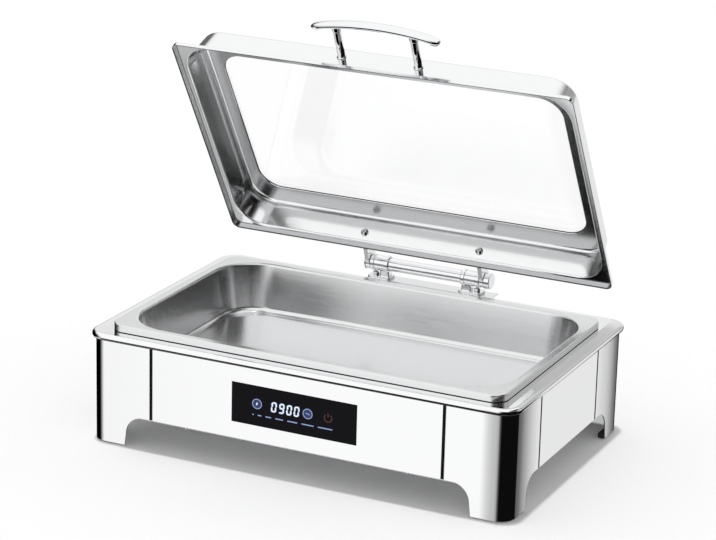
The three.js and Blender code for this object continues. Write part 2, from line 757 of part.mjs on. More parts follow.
// Turns a piece built along +Z so that it stands square on the front (-1) or rear (1) wall
function onWall(geometry, side, z = handle.wallHeight) {
  const lean = Math.atan2(lid.draft, lid.height - lid.topRound - lid.sheet - lid.wallFillet);
  geometry.rotateX(side > 0 ? -Math.PI / 2 + lean : Math.PI / 2 - lean);
  return geometry.translate(0, side * wallAt(z), 0);
}

// Window glass and the gasket that it sits in, in the lid's frame
const shelfTop = lid.height - lid.recessDrop;
const gasketEdge = { x: lid.recessWidth / 2 - restGap, y: lid.recessDepth / 2 - restGap };
const gasketRadius = lid.recessRadius - restGap;

function windowGasket() {
  const at = (offset, z) =>
    ring({ x: gasketEdge.x - offset, y: gasketEdge.y - offset, radius: gasketRadius - offset, z });
  const inner = (z) => ring({
    x: lid.windowWidth / 2 - sealOverlap, y: lid.windowDepth / 2 - sealOverlap,
    radius: lid.windowRadius - sealOverlap, z,
  });
  const base = shelfTop + restGap;
  return loft([
    at(0, base), at(0, lid.height - restGap), at(gasket.side, lid.height - restGap),
    at(gasket.side, base + gasket.base), inner(base + gasket.base), inner(base),
  ], true);
}

function windowGlass() {
  const inset = gasket.side + restGap;
  const pane = plate(
    2 * (gasketEdge.x - inset), 2 * (gasketEdge.y - inset), gasketRadius - inset, glass.thickness);
  return pane.translate(0, 0, shelfTop + 2 * restGap + gasket.base);
}

// Handle post: foot collar, plain shank and the spigot that enters the grip
function handlePost() {
  const { postRadius, postLength, collarRadius, collarHeight, spigotRadius, spigotLength } = handle;
  const post = turned([
    [0, 0], [collarRadius, 0], [collarRadius, collarHeight / 2], [postRadius, collarHeight],
    [postRadius, postLength], [spigotRadius, postLength], [spigotRadius, postLength + spigotLength],
    [0, postLength + spigotLength],
  ]);
  const bore = rod(handle.boreRadius, handle.boreDepth + cutOverrun, smallSides).translate(0, 0, -cutOverrun);
  return cut(post, bore);
}

// Grip: a bow that is widest and thickest in the middle, built along X with the lid below it
function handleGrip() {
  const reach = handle.gripLength / 2;
  const mix = (end, middle, share) => end + (middle - end) * share;
  const underside = (x) => {
    const postRise = handle.gripRise * (1 - (handle.spacing / handle.gripLength) ** 2);
    return handle.bossHeight + handle.gripRise * (1 - (x / reach) ** 2) - postRise;
  };
  const stations = [];
  for (let step = 0; step <= gripStations; step++) {
    const along = -Math.cos((Math.PI * step) / gripStations);
    const x = reach * along;
    const fullness = Math.sqrt(Math.max(1 - along ** grip.fullnessPower, grip.tipShare));
    const share = 1 - along ** 2;
    const width = mix(handle.gripEndWidth, handle.gripWidth, share) * fullness;
    const thick = mix(handle.gripEndThickness, handle.gripThickness, share) * fullness;
    const middle = underside(x) + mix(handle.gripEndThickness, handle.gripThickness, share) / 2;
    const fromHook = (Math.abs(x) - reach + handle.hookFromTip) / handle.hookReach;
    const hook = handle.gripHook * Math.max(0, 1 - fromHook ** 2) ** 2 * fullness;
    const section = [];
    for (let side = 0; side < gripSides; side++) {
      const angle = (2 * Math.PI * side) / gripSides;
      const [c, s] = [Math.cos(angle), Math.sin(angle)];
      const squarer = (value) => Math.sign(value) * Math.abs(value) ** grip.squareShare;
      const depth = s < 0 ? thick / 2 + hook : thick / 2;
      section.push(new THREE.Vector3(x, (width / 2) * squarer(c), middle + depth * squarer(s)));
    }
    stations.push(section);
  }
  const bow = loft(stations, false);
  const boss = (side) => rod(handle.bossRadius, handle.bossHeight + handle.gripThickness / 2)
    .translate((side * handle.spacing) / 2, 0, 0);
  const socket = (side) => {
    const depth = handle.spigotLength + restGap + cutOverrun;
    return rod(handle.spigotRadius + restGap, depth, smallSides)
      .translate((side * handle.spacing) / 2, 0, -cutOverrun);
  };
  const solid = join(bow, boss(-1), boss(1));
  return cut(solid, socket(-1), socket(1)).translate(0, 0, handle.postLength + restGap);
}

// Hinge bracket: stands on the rear panel, steps out under the rim and carries the saddles
function hingeBracket() {
  const t = hinge.bracketSheet;
  const wall = half.y + restGap;
  const profile = [
    [wall, hinge.bracketLegBottom], [wall + t, hinge.bracketLegBottom],
    [wall + t, hinge.bracketLegTop - t], [bracketStart + t, hinge.bracketLegTop - t],
    [bracketStart + t, hinge.bracketTop - t], [bracketEnd, hinge.bracketTop - t],
    [bracketEnd, hinge.bracketTop], [bracketStart, hinge.bracketTop],
    [bracketStart, hinge.bracketLegTop], [wall, hinge.bracketLegTop],
  ];
  const bracketLeft = footStart + hinge.footLength + hinge.bracketPastFoot;
  const bent = slabAlongX(profile, -bracketLeft, hinge.bracketRight);
  const through = t + 2 * cutOverrun;
  const screwHoles = [-1, 1].map((side) =>
    alongY(rod(bracketScrew.radius + holeClear, through, smallSides))
      .translate(side * hinge.bracketScrewFromMiddle, wall - cutOverrun, bracketScrew.height));
  const boltHoles = [-1, 1].map((side) =>
    rod(hinge.footBoltRadius + holeClear, through, smallSides)
      .translate(side * footBoltX, hinge.axisY, hinge.bracketTop - t - cutOverrun));
  return cut(bent, ...screwHoles, ...boltHoles);
}

// Saddle: the collar round the damper tube, its neck and its foot on the bracket. Side is -1 or 1
function hingeSaddle(side) {
  const length = hinge.collarOuter - hinge.collarInner;
  const collar = alongX(rod(hinge.collarRadius, length)).translate(hinge.collarInner, 0, 0);
  const bore = alongX(rod(hinge.tubeRadius + restGap, length + 2 * cutOverrun))
    .translate(hinge.collarInner - cutOverrun, 0, 0);
  const drop = hinge.axisZ - footSeat;
  const footPlate = box(hinge.footLength, hinge.footDepth, hinge.footHeight)
    .translate(footStart + hinge.footLength / 2, 0, -drop);
  const neck = box(hinge.neckWidth, hinge.neckDepth, drop - hinge.tubeRadius + hinge.footHeight / 2)
    .translate(hinge.collarInner + hinge.neckWidth / 2 + restGap, 0, -drop);
  const boltHole = rod(hinge.footBoltRadius + holeClear, hinge.footHeight + 2 * cutOverrun, smallSides)
    .translate(footBoltX, 0, -drop - cutOverrun);
  const saddle = cut(join(collar, neck, footPlate), bore, boltHole);
  return saddle.scale(side, 1, 1).translate(0, hinge.axisY, hinge.axisZ);
}

function damperTube() {
  const length = 2 * hinge.tubeHalf;
  const bore = rod(hinge.tubeRadius - hinge.tubeWall, length + 2 * cutOverrun).translate(0, 0, -cutOverrun);
  return alongX(cut(rod(hinge.tubeRadius, length), bore))
    .translate(-hinge.tubeHalf, hinge.axisY, hinge.axisZ);
}

// Friction and damping cartridge that fills the tube and carries the shaft
function damperCartridge() {
  const reach = hinge.tubeHalf - hinge.tubeWall;
  const bore = rod(hinge.shaftRadius + restGap, 2 * reach + 2 * cutOverrun).translate(0, 0, -cutOverrun);
  return alongX(cut(rod(hinge.tubeRadius - hinge.tubeWall - restGap, 2 * reach), bore))
    .translate(-reach, hinge.axisY, hinge.axisZ);
}

// Pieces that turn with the lid are placed from the hinge axis, with the lid closed
const lidPlace = { y: panShift - hinge.axisY, z: lidSeat - hinge.axisZ };
function hingeShaft() {
  const length = hinge.shaftLeft + hinge.shaftRight;
  return alongX(rod(hinge.shaftRadius, length)).translate(-hinge.shaftLeft, 0, 0);
}

// Arm: an eye on the shaft, a web and a thick pad on the lid's rear wall
function hingeArm(side) {
  const pad = (z) => wallAt(z) + lidPlace.y + restGap;
  const level = (z) => z + lidPlace.z;
  const { padLow, padHigh, padThickness, armRadius, armInner, armOuter, padWidth } = hinge;
  const { back, low, crownBack, crown } = armWebShares;
  const eye = alongX(rod(armRadius, armOuter - armInner)).translate(armInner, 0, 0);
  const web = slabAlongX([
    [pad(padLow), level(padLow)], [-armRadius * back, -armRadius * low], [armRadius * low, -armRadius * back],
    [armRadius * crownBack, armRadius * crown], [pad(padHigh) + padThickness / 2, level(padHigh)],
    [pad(padHigh), level(padHigh)],
  ], armInner, armOuter);
  const padBlock = slabAlongX([
    [pad(padLow), level(padLow)], [pad(padLow) + padThickness, level(padLow)],
    [pad(padHigh) + padThickness, level(padHigh)], [pad(padHigh), level(padHigh)],
  ], hinge.boltFromMiddle - padWidth / 2, hinge.boltFromMiddle + padWidth / 2);
  const bore = alongX(rod(hinge.shaftRadius + restGap, armOuter - armInner + 2 * cutOverrun))
    .translate(armInner - cutOverrun, 0, 0);
  const tapped = rod(hinge.boltRadius + holeClear, hinge.boltReach + cutOverrun, smallSides)
    .translate(0, 0, -cutOverrun / 2);
  onWall(tapped, 1, hinge.boltHeight).translate(hinge.boltFromMiddle, lidPlace.y, level(hinge.boltHeight));
  return cut(join(eye, web, padBlock), bore, tapped).scale(side, 1, 1);
}

function hingeEndCap() {
  const { armOuter, capOuter, capRadius, capCrown, shaftRight, shaftRadius } = hinge;
  const start = armOuter + restGap;
  const length = capOuter - start;
  const bore = shaftRight + restGap - start;
  const cap = turned([
    [shaftRadius + restGap, 0], [capRadius, 0], [capRadius, length - capCrown],
    [capRadius - capCrown, length], [0, length], [0, bore], [shaftRadius + restGap, bore],
    [shaftRadius + restGap, 0],
  ]);
  return alongX(cap).translate(start, 0, 0);
}

function hingeEndDisc() {
  const { armOuter, discLength, capRadius, discCrown } = hinge;
  const disc = turned([
    [0, 0], [capRadius, 0], [capRadius, discLength - discCrown], [capRadius - discCrown, discLength],
    [0, discLength],
  ]);
  return alongX(disc).translate(armOuter + restGap, 0, 0).scale(-1, 1, 1);
}

// Heater stack
const elementAxis = trayFloor + restGap + heater.tubeRadius;
const elementReach = (heater.runSpacing * (heater.runs - 1)) / 2;

// Serpentine centre line in the X-Y plane: straight runs joined by half circles, then two tails
function elementPath() {
  const path = new THREE.CurvePath();
  const radius = heater.runSpacing / 2;
  const point = (x, y) => new THREE.Vector3(x, y, 0);
  const tail = heater.trayDepth / 2 + heater.tailReach;
  path.add(new THREE.LineCurve3(point(-elementReach, tail), point(-elementReach, -heater.runLength / 2)));
  for (let run = 1; run < heater.runs; run++) {
    const x = -elementReach + run * heater.runSpacing;
    const down = run % 2 === 1 ? -1 : 1;
    const end = (down * heater.runLength) / 2;
    const reach = end + down * bendHandleShare * radius;
    const before = x - heater.runSpacing;
    path.add(new THREE.CubicBezierCurve3(
      point(before, end), point(before, reach), point(x, reach), point(x, end)));
    const stop = run === heater.runs - 1 ? tail : -end;
    path.add(new THREE.LineCurve3(point(x, end), point(x, stop)));
  }
  return path;
}

function heatingElement() {
  const section = new THREE.Shape();
  section.absarc(0, 0, heater.tubeRadius, 0, 2 * Math.PI, false);
  const tube = new THREE.ExtrudeGeometry(section, {
    extrudePath: elementPath(), steps: elementSteps, curveSegments: elementSides, bevelEnabled: false,
  });
  return tube.translate(0, panShift, elementAxis);
}

function elementTray() {
  const { trayWidth, trayDepth, traySheet, trayRadius, notchHeight, tubeRadius } = heater;
  const height = trayTop - trayBottom;
  const outside = plate(trayWidth, trayDepth, trayRadius, height);
  const inside = plate(
    trayWidth - 2 * traySheet, trayDepth - 2 * traySheet, trayRadius - traySheet, height)
    .translate(0, 0, traySheet);
  const notches = [-1, 1].map((side) =>
    box(2 * (tubeRadius + notchHeight), 2 * cutOverrun + traySheet, height)
      .translate(side * elementReach, trayDepth / 2 - traySheet / 2, traySheet));
  return cut(outside, inside, ...notches).translate(0, panShift, trayBottom);
}

// Control unit behind the front panel: glass, housing, board and display
const glassBack = control.glassThickness - control.glassProud; // behind the panel's face
const housingMouth = casing.panelSheet + restGap;

// Built lying down with its mouth upwards, then stood behind the panel
const behindPanel = (geometry) =>
  geometry.rotateX(Math.PI / 2).translate(0, -half.y, control.centreHeight);

function controlHousing() {
  const { glassWidth, glassHeight, housingMargin, housingDepth, wall, ledge, aperClear } = control;
  const [width, height] = [glassWidth + 2 * housingMargin, glassHeight + 2 * housingMargin];
  const block = box(width, height, housingDepth);
  const recessDeep = glassBack + restGap - housingMouth;
  const recess = box(glassWidth + 2 * aperClear, glassHeight + 2 * aperClear, recessDeep + cutOverrun)
    .translate(0, 0, housingDepth - recessDeep);
  const well = box(glassWidth - 2 * ledge, glassHeight - 2 * ledge, housingDepth)
    .translate(0, 0, wall);
  const shell = cut(block, recess, well);
  const bossLength = housingDepth - control.boardSetBack - control.boardThickness - restGap;
  const bosses = boardCorners().map(([x, y]) =>
    rod(control.bossRadius, bossLength, smallSides).translate(x, y, 0));
  const whole = join(shell, ...bosses);
  return behindPanel(whole.translate(0, 0, -housingDepth - housingMouth));
}

const boardHalf = {
  x: control.glassWidth / 2 - control.ledge - control.boardMargin,
  y: control.glassHeight / 2 - control.ledge - control.boardMargin,
};
const boardCorners = () => [[1, 1], [-1, 1], [-1, -1], [1, -1]].map(([sx, sy]) =>
  [sx * (boardHalf.x - control.bossRadius), sy * (boardHalf.y - control.bossRadius)]);

function controlBoard() {
  const board = box(2 * boardHalf.x, 2 * boardHalf.y, control.boardThickness);
  return behindPanel(board.translate(0, 0, -housingMouth - control.boardSetBack - control.boardThickness));
}

function displayModule() {
  const depth = housingMouth + control.boardSetBack - restGap - (glassBack + restGap);
  const module = box(control.displayWidth, control.displayHeight, depth);
  const setBack = housingMouth + control.boardSetBack - restGap;
  return behindPanel(module.translate(control.displayShift, 0, -setBack));
}

function touchGlass() {
  const { glassWidth, glassHeight, glassThickness, glassProud } = control;
  const pane = box(glassWidth, glassHeight, glassThickness);
  return behindPanel(pane.translate(0, 0, glassProud - glassThickness));
}

// Power board on four short standoffs, and what is soldered to it
function powerBoard() {
  const { boardWidth, boardDepth, boardThickness, standoff, standoffRadius } = power;
  const board = box(boardWidth, boardDepth, boardThickness).translate(0, 0, standoff);
  const legs = [[1, 1], [-1, 1], [-1, -1], [1, -1]].map(([sx, sy]) =>
    rod(standoffRadius, standoff + boardThickness / 2, smallSides)
      .translate(sx * (boardWidth / 2 - standoffRadius), sy * (boardDepth / 2 - standoffRadius), 0));
  return join(board, ...legs).translate(power.centreX, power.centreY, baseTop + restGap);
}
const boardTop = baseTop + 2 * restGap + power.standoff + power.boardThickness;
const onBoard = ([x, y, z], [dx, dy]) =>
  box(x, y, z).translate(power.centreX + dx, power.centreY + dy, boardTop);

function terminalBlock() {
  const [, depth, height] = power.terminal;
  const block = onBoard(power.terminal, power.terminalPlace);
  const way = depth / terminalWays;
  const [x, y] = [power.centreX + power.terminalPlace[0], power.centreY + power.terminalPlace[1]];
  const wells = Array.from({ length: terminalWays }, (_, i) => {
    const place = (i - (terminalWays - 1) / 2) * way;
    return rod(way * terminalWellShare, height, smallSides).translate(x, y + place, boardTop + height / 2);
  });
  return cut(block, ...wells);
}

// Mains inlet in the rear panel: flange outside, body inside, three pins in the socket
function powerInlet() {
  const { flangeWidth, flangeHeight, flangeThickness, bodyWidth, bodyHeight, bodyDepth } = inlet;
  const flange = box(flangeWidth, flangeHeight, flangeThickness);
  const inside = box(bodyWidth, bodyHeight, bodyDepth + flangeThickness / 2)
    .translate(0, 0, -bodyDepth);
  const socket = box(inlet.socketWidth, inlet.socketHeight, inlet.socketDepth + cutOverrun)
    .translate(0, 0, flangeThickness - inlet.socketDepth);
  const pins = [-1, 0, 1].map((place) =>
    box(...inlet.pin, inlet.pinLength + restGap).translate(
      place * inlet.pinSpacing, place === 0 ? inlet.earthRise : 0,
      flangeThickness - inlet.socketDepth - restGap));
  const whole = join(cut(join(flange, inside), socket), ...pins);
  whole.rotateX(-Math.PI / 2);
  return whole.translate(inlet.fromMiddle, half.y + restGap, inlet.height);
}

// Assembly
const chafingDish = new THREE.Group();
chafingDish.position.y = middleShift;
const fixed = (name, geometry, material) => chafingDish.add(piece(name, geometry, material));

const sides = { left: -1, right: 1 };
const ends = { front: -1, rear: 1 };

for (const [end, signY] of Object.entries(ends)) {
  for (const [side, signX] of Object.entries(sides)) {
    fixed(`corner_post_${end}_${side}`, cornerPost(signX, signY), mirrorSteel);
    fixed(`foot_${end}_${side}`, rubberFoot(signX, signY), blackRubber);
    const base = screw(baseScrew.shankRadius, baseScrew.headRadius, baseScrew.headHeight, baseScrew.length);
    base.rotateX(Math.PI).translate(
      signX * baseScrew.fromMiddle, signY * (half.y - screwRow), baseBottom - restGap);
    fixed(`base_screw_${end}_${side}`, base, zincSteel);
  }
}

const standing = (geometry, turn, offset) => geometry.rotateZ(turn)
  .translate(offset[0], offset[1], casing.panelBottom);
fixed('front_panel', standing(frontPanel(), 0, [0, -half.y]), mirrorSteel);
fixed('rear_panel', standing(rearPanel(), Math.PI, [0, half.y]), mirrorSteel);
fixed('right_panel', standing(panel(panelWidthSide), Math.PI / 2, [half.x, 0]), mirrorSteel);
fixed('left_panel', standing(panel(panelWidthSide), -Math.PI / 2, [-half.x, 0]), mirrorSteel);
fixed('base_plate', basePlateSheet().translate(0, 0, baseBottom), zincSteel);
fixed('top_frame', topFrame(), mirrorSteel);

const waterRim = { x: collarHalf.x - waterPan.flangeInset, y: collarHalf.y - waterPan.flangeInset };
fixed('water_pan', drawnPan(waterPan, waterPanTop, waterRim), satinSteel);
const foodRim = { x: foodPan.width / 2, y: foodPan.depth / 2 };
fixed('food_pan', drawnPan(foodPan, foodPanTop, foodRim), satinSteel);

const spreader = plate(
  heater.spreaderWidth, heater.spreaderDepth, heater.spreaderRadius, heater.spreaderThickness);
fixed('heat_spreader', spreader.translate(0, panShift, spreaderBottom), aluminium);
fixed('heating_element', heatingElement(), satinSteel);
fixed('element_tray', elementTray(), zincSteel);
const board = box(insulation.width, insulation.depth, insulation.thickness);
fixed('insulation_board', board.translate(0, panShift, baseTop + restGap), whiteFibre);
const switchHeight = spreaderBottom - trayFloor - 2 * restGap;
const thermal = rod(cutout.radius, switchHeight)
  .translate(cutout.place * heater.runSpacing, panShift, trayFloor + restGap);
fixed('thermal_cutout', thermal, blackPlastic);
const sensor = box(probe.width, probe.depth, switchHeight);
sensor.translate(probe.place * heater.runSpacing, panShift, trayFloor + restGap);
fixed('temperature_sensor', sensor, aluminium);

fixed('power_board', powerBoard(), boardGreen);
fixed('power_relay', onBoard(power.relay, power.relayPlace), relayBlue);
fixed('power_transformer', onBoard(power.transformer, power.transformerPlace), blackPlastic);
fixed('terminal_block', terminalBlock(), whiteFibre);
fixed('control_housing', controlHousing(), blackPlastic);
fixed('control_board', controlBoard(), boardGreen);
fixed('display_module', displayModule(), blackPlastic);
fixed('touch_glass', touchGlass(), blackGlass);
fixed('power_inlet', powerInlet(), blackPlastic);

fixed('hinge_bracket', hingeBracket(), satinSteel);
fixed('damper_tube', damperTube(), chrome);
fixed('damper_cartridge', damperCartridge(), blackPlastic);
for (const [side, signX] of Object.entries(sides)) {
  fixed(`hinge_saddle_${side}`, hingeSaddle(signX), chrome);
  const bolt = screw(
    hinge.footBoltRadius, hinge.footBoltHead, hinge.footBoltHeadHeight, hinge.footBoltLength, hexSides);
  bolt.translate(signX * footBoltX, hinge.axisY, footSeat + hinge.footHeight + restGap);
  fixed(`saddle_bolt_${side}`, bolt, zincSteel);
  const holder = alongY(screw(
    bracketScrew.radius, bracketScrew.headRadius, bracketScrew.headHeight, bracketScrew.length));
  const face = half.y + hinge.bracketSheet + 2 * restGap;
  holder.translate(signX * hinge.bracketScrewFromMiddle, face, bracketScrew.height);
  fixed(`bracket_screw_${side}`, holder, zincSteel);
}

// Everything that turns with the lid
const swing = new THREE.Group();
swing.position.set(0, hinge.axisY, hinge.axisZ);
swing.rotation.x = -THREE.MathUtils.degToRad(lidRestAngle);
chafingDish.add(swing);
const onShaft = (name, geometry, material) => swing.add(piece(name, geometry, material));
const cover = new THREE.Group();
cover.position.set(0, lidPlace.y, lidPlace.z);
swing.add(cover);
const onLid = (name, geometry, material) => cover.add(piece(name, geometry, material));

onShaft('hinge_shaft', hingeShaft(), zincSteel);
onShaft('hinge_end_cap_right', hingeEndCap(), chrome);
onShaft('hinge_end_cap_left', hingeEndDisc(), chrome);
onLid('lid_shell', lidShell(), mirrorSteel);
onLid('window_gasket', windowGasket(), blackRubber);
onLid('window_glass', windowGlass(), clearGlass);
const bow = onWall(handleGrip().translate(0, 0, restGap), -1)
  .translate(handle.fromMiddle, 0, handle.wallHeight);
onLid('handle_grip', bow, chrome);
for (const [side, signX] of Object.entries(sides)) {
  onShaft(`hinge_arm_${side}`, hingeArm(signX), chrome);
  const across = handle.fromMiddle + (signX * handle.spacing) / 2;
  const post = onWall(handlePost().translate(0, 0, restGap), -1);
  onLid(`handle_post_${side}`, post.translate(across, 0, handle.wallHeight), chrome);
  const inner = lid.sheet + restGap;
  const grub = screw(
    handle.screwRadius, handle.screwHeadRadius, handle.screwHeadHeight, handle.screwReach + inner);
  onWall(grub.rotateX(Math.PI).translate(0, 0, -inner), -1);
  onLid(`handle_screw_${side}`, grub.translate(across, 0, handle.wallHeight), zincSteel);
  const bolt = screw(hinge.boltRadius, hinge.boltHeadRadius, hinge.boltHeadHeight, hinge.boltReach);
  onWall(bolt.rotateX(Math.PI).translate(0, 0, -inner), 1, hinge.boltHeight);
  onLid(`lid_bolt_${side}`, bolt.translate(signX * hinge.boltFromMiddle, 0, hinge.boltHeight), zincSteel);
}

export default chafingDish;
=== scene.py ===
"""Electric chafing dish: fine shapes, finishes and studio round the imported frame.

The scene is in metres, +Z up, with the front to -Y. Shapes are drawn in millimetres from the middle
of the casing, and placed in metres by the matrices under "Places".
"""

import json
from math import atan2, copysign, cos, hypot, pi, radians, sin, sqrt, tan

import bmesh
import bpy
from mathutils import Matrix, Vector


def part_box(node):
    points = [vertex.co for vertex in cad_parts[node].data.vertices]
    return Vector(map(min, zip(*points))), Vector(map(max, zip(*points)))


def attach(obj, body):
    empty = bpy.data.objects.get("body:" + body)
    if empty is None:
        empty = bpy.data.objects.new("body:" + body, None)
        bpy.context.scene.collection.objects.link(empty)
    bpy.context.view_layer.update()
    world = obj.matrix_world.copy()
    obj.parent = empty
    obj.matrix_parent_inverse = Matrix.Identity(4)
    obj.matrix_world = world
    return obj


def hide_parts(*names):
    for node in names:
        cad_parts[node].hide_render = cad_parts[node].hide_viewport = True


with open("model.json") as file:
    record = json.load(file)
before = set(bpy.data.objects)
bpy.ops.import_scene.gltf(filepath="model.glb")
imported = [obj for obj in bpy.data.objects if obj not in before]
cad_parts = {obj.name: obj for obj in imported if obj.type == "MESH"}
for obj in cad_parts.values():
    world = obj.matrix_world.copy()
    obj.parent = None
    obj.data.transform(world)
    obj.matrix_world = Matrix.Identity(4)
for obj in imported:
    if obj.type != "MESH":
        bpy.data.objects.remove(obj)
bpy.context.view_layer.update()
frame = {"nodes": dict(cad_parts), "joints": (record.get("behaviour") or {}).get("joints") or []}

MM = 0.001
GAP = 0.3  # between touching pieces
OVERRUN = 3  # of a cutter past what it cuts
CORNER_STEPS = 20  # round a corner in plan
FOLD_STEPS = 5  # round a fold of the sheet
ARCH_STEPS = 24  # round the arch beside a leg
ROUND_SIDES = 64
BORE_SIDES = 24
CREASE, BEVEL_ANGLE = radians(38), radians(40)
SIDES = {"left": -1, "right": 1}
ENDS = {"front": -1, "rear": 1}


def mm_box(node):
    """Lowest and highest corner of a CAD node in millimetres, in the frame's own axes."""
    low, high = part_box(node)
    return low / MM, high / MM


# Sizes taken from the frame
post_low = mm_box("corner_post_front_left")[0]
post_high = mm_box("corner_post_rear_right")[1]
HALF_X = post_high.x
HALF_Y = (post_high.y - post_low.y) / 2
MIDDLE_Y = (post_high.y + post_low.y) / 2
PANEL_TOP = post_high.z
FOOT_PROUD = post_low.z
rim_low, rim_high = mm_box("top_frame")
RIM_BOTTOM, COLLAR_TOP = rim_low.z, rim_high.z
pan_low, pan_high = mm_box("food_pan")
PAN_X, PAN_Y = pan_high.x, (pan_high.y - pan_low.y) / 2
PAN_SHIFT = (pan_high.y + pan_low.y) / 2 - MIDDLE_Y
PAN_TOP, PAN_BOTTOM = pan_high.z, pan_low.z
front_low, front_high = mm_box("front_panel")
PANEL_BOTTOM = front_low.z
FRONT_HALF = front_high.x
side_low, side_high = mm_box("right_panel")
SIDE_HALF = (side_high.y - side_low.y) / 2
glass_low, glass_high = mm_box("touch_glass")
tube_low, tube_high = mm_box("damper_tube")
bracket_low, bracket_high = mm_box("hinge_bracket")

# Sizes of the fine shapes, in millimetres
SEAM = 1.5
CASING = {"corner": 20, "post": 1.5, "panel": 1.2, "fold": 1.9, "return": 10, "lower": 14, "edge": 0.22}
LEG = {"width": 49, "taper": 2, "arch": 24}
FOOT = {"width": 9, "height": 6, "back": 0.5, "round": 3, "edge": 1.0}
RIM = {"roll": 4.5, "reach": 0.5, "sheet": 1, "lip": 5, "gutter": 143.4, "foot": 2.6}
COLLAR = {
    "x": PAN_X - 1.2, "y": PAN_Y - 1.2, "radius": 17, "channel": 4.2, "lip": 6, "flare": 6, "bend": 1}
PAN = {
    "corner": 18, "lip": 8.6, "sheet": 0.9, "brim": 12, "open": 58, "lean": 9, "floor": 50, "fillet": 10,
    "mouth": 3, "edge": 1.5}
LID = {  # outlines as half width, half depth and corner radius
    "flange": (271, 168, 10), "well": (261, 161, 40), "recess": (245.5, 145, 32), "window": (232.5, 120, 30),
    "lip": 5, "burr": 1.3, "edge": 1.6, "sheet": 1, "draft": 5, "height": 42, "round": 6, "fillet": 2,
    "drop": 5.6, "ledge": 0.8, "pane": 4}
GASKET = {"lip": 1.8, "floor": 1, "round": 0.5, "over_glass": 0.5}
CONTROL = {"play": 0.4, "corner": 1.2, "edge": 0.35}
INLET = {  # outlines as half width, half height and corner radius
    "x": 150, "z": 74, "body": (13.5, 10, 1.5), "deep": 17, "flange": (16.5, 13, 3), "thick": 2.6,
    "socket": (11.7, 8.2, 2.5), "socket_deep": 15, "edge": 0.4}
PINS = {
    "places": ((-7, 0), (0, 3.2), (7, 0)), "half": (1, 2), "corner": 0.4, "length": 10, "tip": (0.5, 1.5),
    "tip_long": 0.9}
HANDLE = {
    "spacing": 104, "middle": 6.5, "height": 22.5, "post": 5, "length": 39, "collar": (6, 1.8),
    "spigot": (2.6, 3), "thread": (2.8, 14), "edges": (0.3, 0.4)}
GRIP = {
    "length": 174, "width": (12.5, 13.5), "thick": (7, 8), "rise": 10, "boss": (5.8, 9, 0.5), "stand": 5,
    "hook": (4, 6, 15), "fullness": 16, "squareness": 0.75, "steps": 96, "sides": 40}
HINGE = {
    "tube_wall": 1.4, "tube_edge": 0.4, "saddle": (52, 78.5), "ring": (10.8, 0.8), "band": (5.2, 0.5, 0.7),
    "bore": 9.3, "foot": (32, 21, 4, 3), "foot_bolt": 72.75, "saddle_edge": 0.25, "arm": (78.8, 84.6),
    "eye": 10, "shaft": 5, "bolt": (82, 14.5), "pad": (8, 33, 10, 20), "arm_edge": 0.4, "cap_face": 2.7}
BRACKET = {"reach": 24, "step": 129, "sheet": 2, "bends": (3, 1, 3), "screw": (60, 112.5), "edge": 0.3}

# Places
METRES = Matrix.Diagonal((MM, MM, MM, 1))
joint = frame["joints"][0]
AXIS = Vector(joint["pos_m"]) / MM
REST_ANGLE = radians(-joint["range_deg"][0])
BODY = Matrix.Translation((0, MIDDLE_Y, 0))
SWING = Matrix.Translation(AXIS) @ Matrix.Rotation(-REST_ANGLE, 4, "X")
LID_SEAT = PAN_TOP + GAP
AXIS_Y = AXIS.y - MIDDLE_Y
COVER = SWING @ Matrix.Translation((0, PAN_SHIFT - AXIS_Y, LID_SEAT - AXIS.z))
ALONG_X = Matrix(((0, 0, 1, 0), (1, 0, 0, 0), (0, 1, 0, 0), (0, 0, 0, 1)))
ALONG_Y = Matrix(((1, 0, 0, 0), (0, 0, 1, 0), (0, 1, 0, 0), (0, 0, 0, 1)))


def mirrored(x=1, y=1):
    return Matrix.Diagonal((x, y, 1, 1))


def shifted(x=0, y=0, z=0):
    return Matrix.Translation((x, y, z))


# Shells: points and faces in millimetres
def moved(shell, matrix):
    points, faces = shell
    return [matrix @ Vector(p) for p in points], faces


def rounded(half_x, half_y, radius, z, shift=0.0, steps=CORNER_STEPS):
    """Rounded rectangle at one height, with the same number of points whatever its size."""
    ring = []
    for turn, (sx, sy) in enumerate(((1, 1), (-1, 1), (-1, -1), (1, -1))):
        for step in range(steps + 1):
            angle = pi / 2 * (turn + step / steps)
            x = sx * (half_x - radius) + radius * cos(angle)
            y = sy * (half_y - radius) + radius * sin(angle) + shift
            ring.append((x, y, z))
    return ring


def loft(rings, closed=False):
    """Skin through a row of rings, back to the first ring if closed, or else capped at both ends."""
    count = len(rings[0])
    points = [p for ring in rings for p in ring]
    faces = []
    for row in range(len(rings) if closed else len(rings) - 1):
        a, b = row * count, (row + 1) % len(rings) * count
        faces += [(a + i, a + (i + 1) % count, b + (i + 1) % count, b + i) for i in range(count)]
    if not closed:
        faces.append(tuple(range(count)))
        faces.append(tuple(range(len(points) - count, len(points))))
    return points, faces


def extruded(outline, low, high):
    return loft([[(x, y, z) for x, y in outline] for z in (low, high)])


def turned(profile, sides=ROUND_SIDES, closed=False):
    """Profile of radius and height turned about Z. A radius of zero ends in a pole."""
    angles = [2 * pi * i / sides for i in range(sides)]
    return loft([[(r * cos(a), r * sin(a), z) for a in angles] for r, z in profile], closed)


def rod(radius, low, high, sides=ROUND_SIDES):
    return turned([(0, low), (radius, low), (radius, high), (0, high)], sides)


def block(low, high):
    (x0, y0, z0), (x1, y1, z1) = low, high
    return extruded([(x0, y0), (x1, y0), (x1, y1), (x0, y1)], z0, z1)


def slab(outline, low, high, steps):
    """Rounded rectangle, by its half sizes and radius, between two depths along Y."""
    return moved(loft([rounded(*outline, y, steps=steps) for y in (low, high)]), ALONG_Y)


